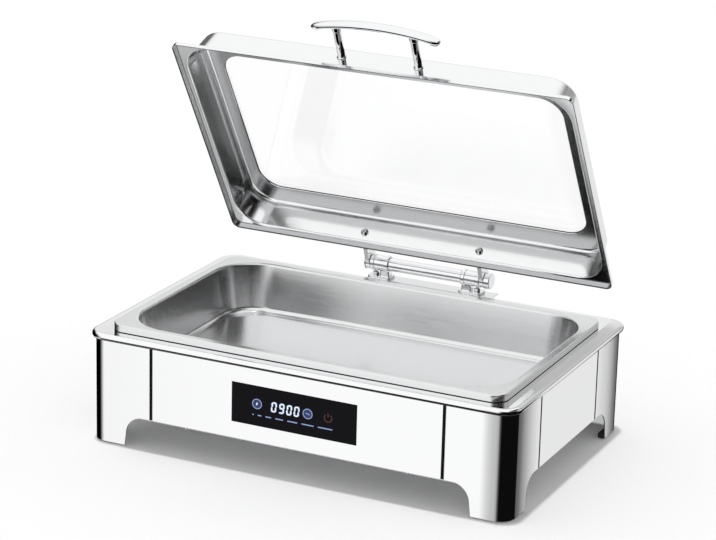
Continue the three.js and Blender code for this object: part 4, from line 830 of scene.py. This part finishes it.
# Geometry Nodes: fasteners, display bars and digits
KINDS = {
    "Geometry": "NodeSocketGeometry", "Material": "NodeSocketMaterial", "Head Sides": "NodeSocketInt",
    "Count": "NodeSocketInt"}


def node_group(name, titles):
    """A geometry tree with a Geometry input and output, and the named inputs."""
    tree = bpy.data.node_groups.new(name, "GeometryNodeTree")
    for title in ("Geometry", *titles, "Material"):
        kind = KINDS.get(title, "NodeSocketFloat")
        tree.interface.new_socket(title, in_out="INPUT", socket_type=kind)
    tree.interface.new_socket("Geometry", in_out="OUTPUT", socket_type=KINDS["Geometry"])
    return tree, add(tree, "NodeGroupInput"), add(tree, "NodeGroupOutput")


def vector(tree, x=0.0, y=0.0, z=0.0):
    return result(tree, "ShaderNodeCombineXYZ", {"X": x, "Y": y, "Z": z})


def lifted(tree, geometry, z):
    return result(tree, "GeometryNodeTransform", {"Geometry": geometry, "Translation": vector(tree, z=z)})


def cylinder(tree, sides, radius, depth):
    return result(tree, "GeometryNodeMeshCylinder", {"Vertices": sides, "Radius": radius, "Depth": depth})


def closing(tree, group_input, output, geometry):
    """The end of every tree: real geometry with its material."""
    real = result(tree, "GeometryNodeRealizeInstances", {"Geometry": geometry})
    painted = result(tree, "GeometryNodeSetMaterial", {
        "Geometry": real, "Material": group_input.outputs["Material"]})
    tree.links.new(painted, output.inputs[0])


def fastener_tree():
    """Screws with a chamfered head and a hexagon socket, standing on seat points along their facing."""
    tree, given, output = node_group("fasteners", [
        "Head Radius", "Head Height", "Head Sides", "Shank Radius", "Length", "Socket Radius", "Socket Depth",
        "Chamfer"])
    get = given.outputs
    sides, chamfer = get["Head Sides"], get["Chamfer"]
    low = maths(tree, "SUBTRACT", get["Head Height"], chamfer)
    body = cylinder(tree, sides, get["Head Radius"], low)
    body = lifted(tree, body, maths(tree, "MULTIPLY", low, 0.5))
    crown = result(tree, "GeometryNodeMeshCone", {
        "Vertices": sides, "Radius Top": maths(tree, "SUBTRACT", get["Head Radius"], chamfer),
        "Radius Bottom": get["Head Radius"], "Depth": chamfer})
    crown = lifted(tree, crown, low)
    long = maths(tree, "ADD", get["Length"], low)
    shank = cylinder(tree, 24, get["Shank Radius"], long)
    shank = lifted(tree, shank, maths(tree, "MULTIPLY", maths(tree, "SUBTRACT", low, get["Length"]), 0.5))
    whole = add(tree, "GeometryNodeMeshBoolean", operation="UNION", solver="EXACT")
    for part in (shank, crown, body):
        tree.links.new(part, whole.inputs["Mesh 2"])
    key = lifted(tree, cylinder(tree, 6, get["Socket Radius"], get["Socket Depth"]), get["Head Height"])
    cut = add(tree, "GeometryNodeMeshBoolean", {"Mesh 1": whole.outputs["Mesh"]}, operation="DIFFERENCE",
              solver="EXACT")
    tree.links.new(key, cut.inputs["Mesh 2"])
    facing = result(tree, "GeometryNodeInputNamedAttribute", {"Name": "facing"}, data_type="FLOAT_VECTOR")
    aim = result(tree, "FunctionNodeAlignRotationToVector", {"Vector": facing}, axis="Z")
    seated = result(tree, "GeometryNodeInstanceOnPoints", {
        "Points": get["Geometry"], "Instance": cut.outputs["Mesh"], "Rotation": aim})
    closing(tree, given, output, seated)
    return tree


def grown(name, tree, points, lengths, values, attributes=None):
    """Runs a tree over points, given in metres, and returns its plain mesh as an object.

    Lengths are inputs of the tree in millimetres, and values are its other inputs.
    """
    made = linked(name, points, [])
    for title, (kind, data) in (attributes or {}).items():
        made.data.attributes.new(title, kind, "POINT").data.foreach_set(
            "vector" if kind == "FLOAT_VECTOR" else "value", data)
    step = made.modifiers.new(name, "NODES")
    step.node_group = tree
    values = {**values, **{title: value * MM for title, value in lengths.items()}}
    for item in tree.interface.items_tree:
        if item.in_out == "INPUT" and item.name in values:
            step[item.identifier] = values[item.name]
    bake(made)
    return made


def both(name):
    return [f"{name}_{side}" for side in SIDES]


def wall_seats(side, middle, across, z):
    """Seat points and facing of screws whose heads lie inside the lid's wall."""
    places = [on_wall(side, middle + sx * across, z) for sx in SIDES.values()]
    seats = [place @ Vector((0, 0, -inner_face)) for place in places]
    return seats, [(place @ Vector((0, 0, -inner_face - 1)) - seat) for place, seat in zip(places, seats)]


base_names = [f"base_screw_{end}_{side}" for end in ENDS for side in SIDES]
base_middles = [sum(mm_box(name), Vector()) / 2 for name in base_names]
base_seat = mm_box(base_names[0])[0].z + 2
base_points = [(middle.x, middle.y, base_seat) for middle in base_middles]
saddle_seat = bracket_top + 2 * GAP + foot_high
inner_face = LID["sheet"] + GAP
handle_seats, handle_facing = wall_seats(-1, HANDLE["middle"], HANDLE["spacing"] / 2, HANDLE["height"])
lid_seats, lid_facing = wall_seats(1, 0, *HINGE["bolt"])
screw_x, screw_z = BRACKET["screw"]
bracket_face = HALF_Y + MIDDLE_Y + BRACKET["sheet"] + 2 * GAP
bracket_points = [(sx * screw_x, bracket_face, screw_z) for sx in SIDES.values()]
saddle_points = [(sx * HINGE["foot_bolt"], AXIS.y, saddle_seat) for sx in SIDES.values()]
FASTENERS = [
    # name, body, seats, facing, nodes; radius, height, chamfer and sides of the head; radius and length
    # of the shank; radius of the socket
    ("base_screws", "base", base_points, [(0, 0, -1)] * 4, base_names, 3.6, 2, 0.6, 48, 1.75, 8, 1.5),
    ("bracket_screws", "base", bracket_points, [(0, 1, 0)] * 2, both("bracket_screw"),
     4.6, 2.6, 0.8, 48, 2.4, 9, 2),
    ("saddle_bolts", "base", saddle_points, [(0, 0, 1)] * 2, both("saddle_bolt"),
     4.4, 3.2, 1, 6, 2.4, 9, 1.6),
    ("handle_screws", "lid", handle_seats, handle_facing, both("handle_screw"),
     4.8, 2.4, 0.7, 48, 2.4, 13.3, 2),
    ("lid_bolts", "lid", lid_seats, lid_facing, both("lid_bolt"), 5, 3.2, 2, 48, 3, 10, 1.5),
]
fasteners = fastener_tree()
for name, body, seats, facing, nodes, head, high, chamfer, sides, shank, length, key in FASTENERS:
    screws = grown(name, fasteners, [Vector(p) * MM for p in seats], {
        "Head Radius": head, "Head Height": high, "Shank Radius": shank, "Length": length,
        "Socket Radius": key, "Socket Depth": high * 1.1, "Chamfer": chamfer,
    }, {"Head Sides": sides, "Material": finishes["zinc_steel"]}, {
        "facing": ("FLOAT_VECTOR", [v for way in facing for v in way])})
    # the faces across the facing, the heads' sides and sockets, get near black painted shade
    ahead = Vector(facing[0]).normalized()
    screws.data.materials.append(finishes["scaled_steel"])
    across = [abs(face.normal.dot(ahead)) < 0.9 for face in screws.data.polygons]
    screws.data.polygons.foreach_set("material_index", across)
    handed_over(screws, body, nodes)


def bar_tree():
    """Row of bars along X, each one longer than the last by the same growth, with an equal gap."""
    tree, given, output = node_group("level_bars", [
        "Count", "First Length", "Growth", "Gap", "Height", "Thickness"])
    get = given.outputs
    index = result(tree, "GeometryNodeInputIndex")
    row = result(tree, "GeometryNodePoints", {"Count": get["Count"]})
    before = maths(tree, "MULTIPLY", index, maths(tree, "SUBTRACT", index, 1.0))
    spread = maths(tree, "MULTIPLY", maths(tree, "MULTIPLY", before, 0.5), get["Growth"])
    pitch = maths(tree, "ADD", get["First Length"], get["Gap"])
    start = maths(tree, "ADD", maths(tree, "MULTIPLY", index, pitch), spread)
    length = maths(tree, "ADD", get["First Length"], maths(tree, "MULTIPLY", index, get["Growth"]))
    middle = maths(tree, "ADD", start, maths(tree, "MULTIPLY", length, 0.5))
    placed = result(tree, "GeometryNodeSetPosition", {"Geometry": row, "Position": vector(tree, middle)})
    size = vector(tree, 1.0, get["Thickness"], get["Height"])
    bar = result(tree, "GeometryNodeMeshCube", {"Size": size})
    scale = vector(tree, length, 1.0, 1.0)
    bars = result(tree, "GeometryNodeInstanceOnPoints", {"Points": placed, "Instance": bar, "Scale": scale})
    first = result(tree, "GeometryNodeInputPosition")
    origin = result(tree, "GeometryNodeSampleIndex", {
        "Geometry": get["Geometry"], "Value": first, "Index": 0}, data_type="FLOAT_VECTOR")
    at_origin = result(tree, "GeometryNodeTransform", {"Geometry": bars, "Translation": origin})
    closing(tree, given, output, at_origin)
    return tree


def segment_tree():
    """Pointed segments of the digits, one on each lit point, upright where its attribute says so."""
    tree, given, output = node_group("lit_segments", ["Length", "Width", "Thickness"])
    get = given.outputs
    # a six-sided prism, flattened along its axis and stretched to a pointed bar
    prism = cylinder(tree, 6, 0.5, 1.0)
    laid = result(tree, "GeometryNodeTransform", {"Geometry": prism, "Rotation": (pi / 2, 0, 0)})
    size = vector(tree, get["Length"], get["Thickness"], get["Width"])
    bar = result(tree, "GeometryNodeTransform", {"Geometry": laid, "Scale": size})
    upright = result(tree, "GeometryNodeInputNamedAttribute", {"Name": "upright"}, data_type="FLOAT")
    turn = vector(tree, y=maths(tree, "MULTIPLY", upright, pi / 2))
    lit = result(tree, "GeometryNodeInstanceOnPoints", {
        "Points": get["Geometry"], "Instance": bar, "Rotation": turn})
    closing(tree, given, output, lit)
    return tree


# Lit print, from the middle of the glass
SHOW_Y = glass_low.y - 0.12  # its middle, just proud of the glass
PRINT = 0.105  # half its thickness
DIGITS = {
    "text": "0900", "half": (2.6, 5.6), "slant": 0.78, "places": (-26.4, -15.9, -5.7, 4.3), "level": 2.7}
SEGMENTS = {  # place in half widths and half heights, and whether it stands
    "top": (0, 1, 0), "upper_left": (-1, 0.5, 1), "upper_right": (1, 0.5, 1), "middle": (0, 0, 0),
    "lower_left": (-1, -0.5, 1), "lower_right": (1, -0.5, 1), "bottom": (0, -1, 0)}
UNLIT = {"0": "middle", "9": "lower_left"}


def on_glass(x, z):
    return Vector((x, SHOW_Y, glass_z + z)) * MM


bars = grown("level_bars", bar_tree(), [on_glass(-55.6, -11.6)], {
    "First Length": 1.8, "Growth": 2.9, "Gap": 5.75, "Height": 1.4, "Thickness": 0.2,
}, {"Count": 7, "Material": finishes["display_pale"]})
handed_over(bars, "base", ())

half_wide, half_high = DIGITS["half"]
segment_points, upright = [], []
for text, centre in zip(DIGITS["text"], DIGITS["places"]):
    for title, (across, up, stands) in SEGMENTS.items():
        if title != UNLIT[text]:
            x = centre + across * half_wide + up * DIGITS["slant"]
            segment_points.append(on_glass(x, DIGITS["level"] + up * half_high))
            upright.append(float(stands))
digits = grown("digits", segment_tree(), segment_points, {
    "Length": 6.3, "Width": 2.4, "Thickness": 0.2,
}, {"Material": finishes["display_white"]}, {"upright": ("FLOAT", upright)})
handed_over(digits, "base", ())


def flat_ring(centre, radius, width, start=0, end=360, steps=48):
    """Thin ring on the glass, or part of one, as a closed shell in millimetres."""
    full = end - start >= 360
    rings = []
    for i in range(steps if full else steps + 1):
        a = radians(start + (end - start) * i / steps)
        rings.append([(centre[0] + r * cos(a), y, centre[1] + r * sin(a)) for r, y in (
            (radius - width, -PRINT), (radius, -PRINT), (radius, PRINT), (radius - width, PRINT))])
    return loft(rings, closed=full)


def stroke(start, end, width):
    """Thin straight bar on the glass between two points."""
    start, end = Vector(start), Vector(end)
    along = end - start
    across = Vector((-along.y, along.x)).normalized() * width / 2
    outline = [start - across, end - across, end + across, start + across]
    return moved(extruded([tuple(p) for p in outline], -PRINT, PRINT), ALONG_Y)


def icon(name, shells, finish):
    """Several thin shells in one piece on the glass."""
    points, faces = [], []
    for more, joins in shells:
        faces += [tuple(i + len(points) for i in face) for face in joins]
        points += more
    finished(mesh_object(name, (points, faces)), shifted(0, SHOW_Y, glass_z), finish, "base")


TIMER, CLOCK = (-49.4, 2.8), (19.1, 2.7)
DIAL = (6.6, 1.1)  # radius and width
icon("timer_ring", [flat_ring(TIMER, *DIAL)], "display_pale")
icon("timer_hand", [stroke((-50.2, 1.4), (-48.9, 4.4), 1.9)], "display_white")
icon("clock_icon", [
    flat_ring(CLOCK, *DIAL), stroke((16.6, 3.8), (19.4, 2.6), 1.2), stroke((19.2, 2.7), (22.0, 1.9), 1.2)],
    "display_pale")
icon("icon_glow", [
    moved(extruded(arc((x, 2.75), 5.2, 0, 345, 23), -0.04, 0.04), ALONG_Y) for x in (TIMER[0], CLOCK[0])],
    "display_blue")
icon("power_icon", [
    flat_ring((46.5, 2.2), 5.6, 1.3, 130, 410, 40), stroke((46.5, 3.4), (46.5, 8.2), 1.3)], "display_red")

# CAD nodes that keep their shape
KEPT = {
    "satin_steel": ["water_pan", "heating_element"],
    "aluminium": ["heat_spreader", "temperature_sensor"],
    "ceramic_fibre": ["insulation_board"],
    "zinc_steel": ["element_tray", "base_plate", "hinge_shaft"],
    "black_plastic": [
        "thermal_cutout", "power_transformer", "control_housing", "damper_cartridge", "display_module"],
    "board_green": ["power_board", "control_board"],
    "relay_blue": ["power_relay"],
    "white_plastic": ["terminal_block"],
}
for finish, names in KEPT.items():
    for name in names:
        mesh = frame["nodes"][name].data
        mesh.materials.clear()
        mesh.materials.append(finishes[finish])

# Studio
# Polished metal mirrors a white panorama with black walls, which draw its stripes and outlines.
# The camera and the floor get plain white light.
SKY, WHITE = 0.62, 1.0
GROUND = 0.52  # brightness of the panorama straight below
BEHIND_GLASS = 0.14  # added to the white that is seen through glass
WALLS = [
    # sines of the elevations between which the lower and the upper edge fade, and the brightness at
    # each azimuth in degrees from +X
    ((-0.8, -0.68), (0.6, 0.42), [
        (-98, 1), (-84, 0.3), (-74, 0), (-4, 0), (30, 0.5), (62, 0.82), (84, 0.82), (92, 1)]),
    ((-0.66, -0.45), (0.45, -0.02), [
        (-160, 0), (-152, 0.15), (-145, 0.3), (-130, 0.75), (-117, 1), (112, 1), (135, 0)]),
    ((-0.66, -0.45), (0.62, 0.4), [
        (-180, 0), (-160, 0.2), (-152, 0.5), (-145, 0.8), (-130, 1), (128, 1), (142, 0)]),
    ((-0.99, -0.94), (-0.38, -0.5), [(-160, 1), (-152, 0.5), (-145, 0), (42, 0), (64, 1)]),
    ((0.0, 0.1), (0.75, 0.6), [(35, 1), (48, 0.45), (72, 0.6), (90, 0.85), (128, 0.85), (150, 1)]),
    ((0.5, 0.6), (0.9, 0.8), [(-40, 1), (-15, 0), (40, 0), (56, 1)]),
]


def between(tree, value, low, high):
    """Smooth step from 0 at the low value to 1 at the high one."""
    return result(tree, "ShaderNodeMapRange", {"Value": value, "From Min": low, "From Max": high},
                  interpolation_type="SMOOTHSTEP")


def glow(tree, strength):
    return result(tree, "ShaderNodeBackground", {"Color": rgba((1, 1, 1)), "Strength": strength})


world = bpy.data.worlds.new("studio")
world.use_nodes = True
world.node_tree.nodes.clear()
tree = world.node_tree
ray = add(tree, "ShaderNodeLightPath").outputs
way = add(tree, "ShaderNodeTexCoord").outputs["Generated"]
way = add(tree, "ShaderNodeSeparateXYZ", {"Vector": way}).outputs
azimuth = maths(tree, "ARCTAN2", way["Y"], way["X"])
turn = result(tree, "ShaderNodeMapRange", {"Value": azimuth, "From Min": -pi, "From Max": pi})
rise = way["Z"]
level = result(tree, "ShaderNodeMix", {"Factor": between(tree, rise, -0.72, -0.9), 2: 1.0, 3: GROUND},
               data_type="FLOAT")
for lower, upper, stops in WALLS:
    wall = add(tree, "ShaderNodeValToRGB", {"Fac": turn})
    ramp = wall.color_ramp
    ramp.interpolation = "EASE"
    while len(ramp.elements) < len(stops):
        ramp.elements.new(0.5)
    for stop, (turn_degrees, brightness) in zip(ramp.elements, stops):
        stop.position = (turn_degrees + 180) / 360
        stop.color = rgba((brightness,) * 3)
    reach = maths(tree, "MULTIPLY", between(tree, rise, *lower), between(tree, rise, *upper))
    shade = result(tree, "ShaderNodeMix", {
        "Factor": reach, 2: 1.0, 3: wall.outputs["Color"]}, data_type="FLOAT")
    level = maths(tree, "MULTIPLY", level, shade)
soft, mirror = glow(tree, SKY), glow(tree, level)
through_glass = maths(tree, "MULTIPLY", ray["Is Transmission Ray"], BEHIND_GLASS)
plain = glow(tree, maths(tree, "ADD", WHITE, through_glass))
mirrored_before = maths(tree, "GREATER_THAN", ray["Glossy Depth"], 0.5)
glossy = result(tree, "ShaderNodeMixShader", {0: mirrored_before, 1: soft, 2: mirror})
direct = maths(tree, "SUBTRACT", 1.0, mirrored_before)
direct = maths(tree, "MULTIPLY", ray["Is Transmission Ray"], direct)
seen = maths(tree, "MAXIMUM", ray["Is Camera Ray"], direct)
shown = result(tree, "ShaderNodeMixShader", {0: seen, 1: glossy, 2: plain})
add(tree, "ShaderNodeOutputWorld", {"Surface": shown})
world.cycles.sampling_method = "NONE"
bpy.context.scene.world = world

# Heights and reaches of the studio's sheets
FLOOR_HALF, FLOOR_Z = 3e4, -0.05
CARD_Z, GUTTER_CARD_Z = 157, 150
CORNER_REACH, CORNER_STEP, CORNER_RISE = 80, 6, (139, -40)
floor_material = grained("studio_floor", (0.97, 0.97, 0.97), 1.0, sockets={"Specular IOR Level": 0.0})


def card_material(name, brightness):
    """Card with soft edges by its cover attribute, for light that has met metal."""
    material, tree, output = blank(name)
    depth = add(tree, "ShaderNodeLightPath").outputs["Glossy Depth"]
    mirrored_before = maths(tree, "GREATER_THAN", depth, 0.5)
    lower_side = add(tree, "ShaderNodeNewGeometry").outputs["Backfacing"]
    upper_side = maths(tree, "SUBTRACT", 1.0, lower_side)
    cover = add(tree, "ShaderNodeAttribute", attribute_name="cover").outputs["Fac"]
    shown = maths(tree, "MULTIPLY", maths(tree, "MULTIPLY", mirrored_before, cover), upper_side)
    clear = result(tree, "ShaderNodeBsdfTransparent")
    lit = result(tree, "ShaderNodeEmission", {"Color": rgba((brightness,) * 3), "Strength": 1.0})
    surface = result(tree, "ShaderNodeMixShader", {0: shown, 1: clear, 2: lit})
    tree.links.new(surface, output.inputs["Surface"])
    material.cycles.emission_sampling = "NONE"
    return material


black_card = card_material("black_card", 0.004)
pale_card, bright_card = card_material("pale_card", 0.5), card_material("bright_card", 1.5)
grey_card = card_material("grey_card", 0.05)


def staged(name, points, faces, material):
    """A sheet of the studio, in millimetres."""
    made = linked(name, points, faces)
    made.data.transform(METRES)
    made.data.materials.append(material)
    return made


def soft_card(name, rows, material):
    """Card through rows of points, each with its cover, seen in metal from the side of its normal."""
    count = len(rows[0])
    faces = [(a + i, a + i + 1, a + i + 1 + count, a + i + count)
             for a in range(0, count * (len(rows) - 1), count) for i in range(count - 1)]
    made = staged(name, [p for row in rows for p, _ in row], faces, material)
    covers = [cover for row in rows for _, cover in row]
    made.data.attributes.new("cover", "FLOAT", "POINT").data.foreach_set("value", covers)
    made.visible_camera = made.visible_diffuse = made.visible_shadow = made.visible_transmission = False
    return made


def level_card(name, z, material, rows):
    """Level card by rows of x, y and cover."""
    soft_card(name, [[((x, y, z), cover) for x, y, cover in row] for row in rows], material)


def woven_card(name, z, material, across, along):
    """Level card whose cover is the product of one share at each x and one at each y."""
    level_card(name, z, material, [[(x, y, one * two) for x, one in across] for y, two in along])


def corner_card(name, x, y, covers):
    """Upright card round the middle of a casing corner, with its cover at each angle in degrees."""
    ends = []
    for (first, one), (last, two) in zip(covers, covers[1:]):
        count = max(1, round((last - first) / CORNER_STEP))
        ends += [(first + (last - first) * i / count, one + (two - one) * i / count) for i in range(count)]
    ends.append(covers[-1])
    spokes = [(x + CORNER_REACH * cos(radians(a)), y + CORNER_REACH * sin(radians(a)), c) for a, c in ends]
    soft_card(name, [[((px, py, z), cover) for px, py, cover in spokes] for z in CORNER_RISE], black_card)


floor_corners = [
    (sx * FLOOR_HALF, sy * FLOOR_HALF, FLOOR_Z) for sx, sy in ((-1, -1), (1, -1), (1, 1), (-1, 1))]
staged("floor", floor_corners, [(0, 1, 2, 3)], floor_material).visible_glossy = False
behind = soft_card("card_behind", [[((x, 360, z), 1) for x in (-300, 250)] for z in (1, 290)], grey_card)
behind.visible_glossy, behind.visible_transmission = False, True
# both darken what looks down at the pan: the right side of the lid's underside, and its flange over the hinge
level_card("card_over_right", CARD_Z, black_card, [
    [(60, -72, 0), (72, -72, 1), (132, -66, 1), (150, -62, 0)],
    [(186, 166, 0), (198, 166, 1), (260, 162, 1), (278, 158, 0)]])
woven_card(
    "card_over_rear", CARD_Z, black_card,
    [(-262, 0.9), (-225, 0.85), (-150, 0.62), (-110, 0.55), (0, 0.6), (190, 0.66)],
    [(136, 0), (144, 1), (170, 1), (178, 0)])
# keeps the front of the ring round the window light
woven_card(
    "card_over_middle", CARD_Z, bright_card, [(-120, 0), (-85, 1), (95, 1), (115, 0)],
    [(-24, 0), (-16, 1), (12, 1), (20, 0)])
# faces down, over the gutter at the right
woven_card(
    "card_over_gutter", GUTTER_CARD_Z, pale_card, [(262, 1), (287, 1)],
    [(186, 0), (150, 0.8), (60, 1), (-60, 1), (-130, 0.3), (-150, 0)])
# the handle's posts mirror these, off the lid's front wall at the right of each
for side, sx in SIDES.items():
    soft_card(f"card_beside_post_{side}", [
        [(at_handle(sx) @ Vector((x, y, 1.5)), 1) for x in (HANDLE["post"] + 1, 40)] for y in (-20, 17)],
        black_card)
corner_x, corner_y = HALF_X - CASING["corner"], HALF_Y - CASING["corner"]
corner_card("card_front_right", corner_x, MIDDLE_Y - corner_y, [
    (-119, 0), (-113.5, 0.3), (-109, 0.45), (-98, 0.55), (-88, 0.65), (-78, 0.85), (-70, 1), (45, 1),
    (52, 0.95), (57.4, 0.8), (60.2, 0.6), (66.5, 0.25), (73, 0)])
corner_card("card_rear_right", corner_x, MIDDLE_Y + corner_y, [
    (36, 0), (43, 0.15), (47.7, 0.25), (51.5, 0.45), (55, 0.75), (60, 1), (120, 1)])

KEY_LIGHT = {"energy": 1.33, "degrees": 3, "way": (-0.03, 0.0, 1.0)}
sun = bpy.data.lights.new("key", "SUN")
sun.energy, sun.angle = KEY_LIGHT["energy"], radians(KEY_LIGHT["degrees"])
key = bpy.data.objects.new("key", sun)
key.rotation_euler = Vector(KEY_LIGHT["way"]).to_track_quat("Z", "Y").to_euler()
key.visible_glossy = False
bpy.context.scene.collection.objects.link(key)

# Camera, at the photograph's angle
CAMERA = {
    "azimuth": 25.2508, "elevation": 17.896, "roll": 1.484, "place": (1.39558, -2.98300, 1.27753),
    "lens": 139.1, "sensor": 36, "clip": (0.1, 100)}
azimuth, elevation, roll_angle = [radians(CAMERA[name]) for name in ("azimuth", "elevation", "roll")]
look = Vector((-sin(azimuth) * cos(elevation), cos(azimuth) * cos(elevation), -sin(elevation)))
right = Vector((cos(azimuth), sin(azimuth), 0))
up = right.cross(look)
image_right = right * cos(roll_angle) + up * sin(roll_angle)
image_up = up * cos(roll_angle) - right * sin(roll_angle)
view = Matrix((image_right, image_up, -look)).transposed().to_4x4()
view.translation = Vector(CAMERA["place"])
lens = bpy.data.cameras.new("camera")
lens.lens, lens.sensor_width = CAMERA["lens"], CAMERA["sensor"]
lens.clip_start, lens.clip_end = CAMERA["clip"]
camera = bpy.data.objects.new("camera", lens)
camera.matrix_world = view
bpy.context.scene.collection.objects.link(camera)
bpy.context.scene.camera = camera
bpy.context.scene.view_settings.view_transform = "Standard"
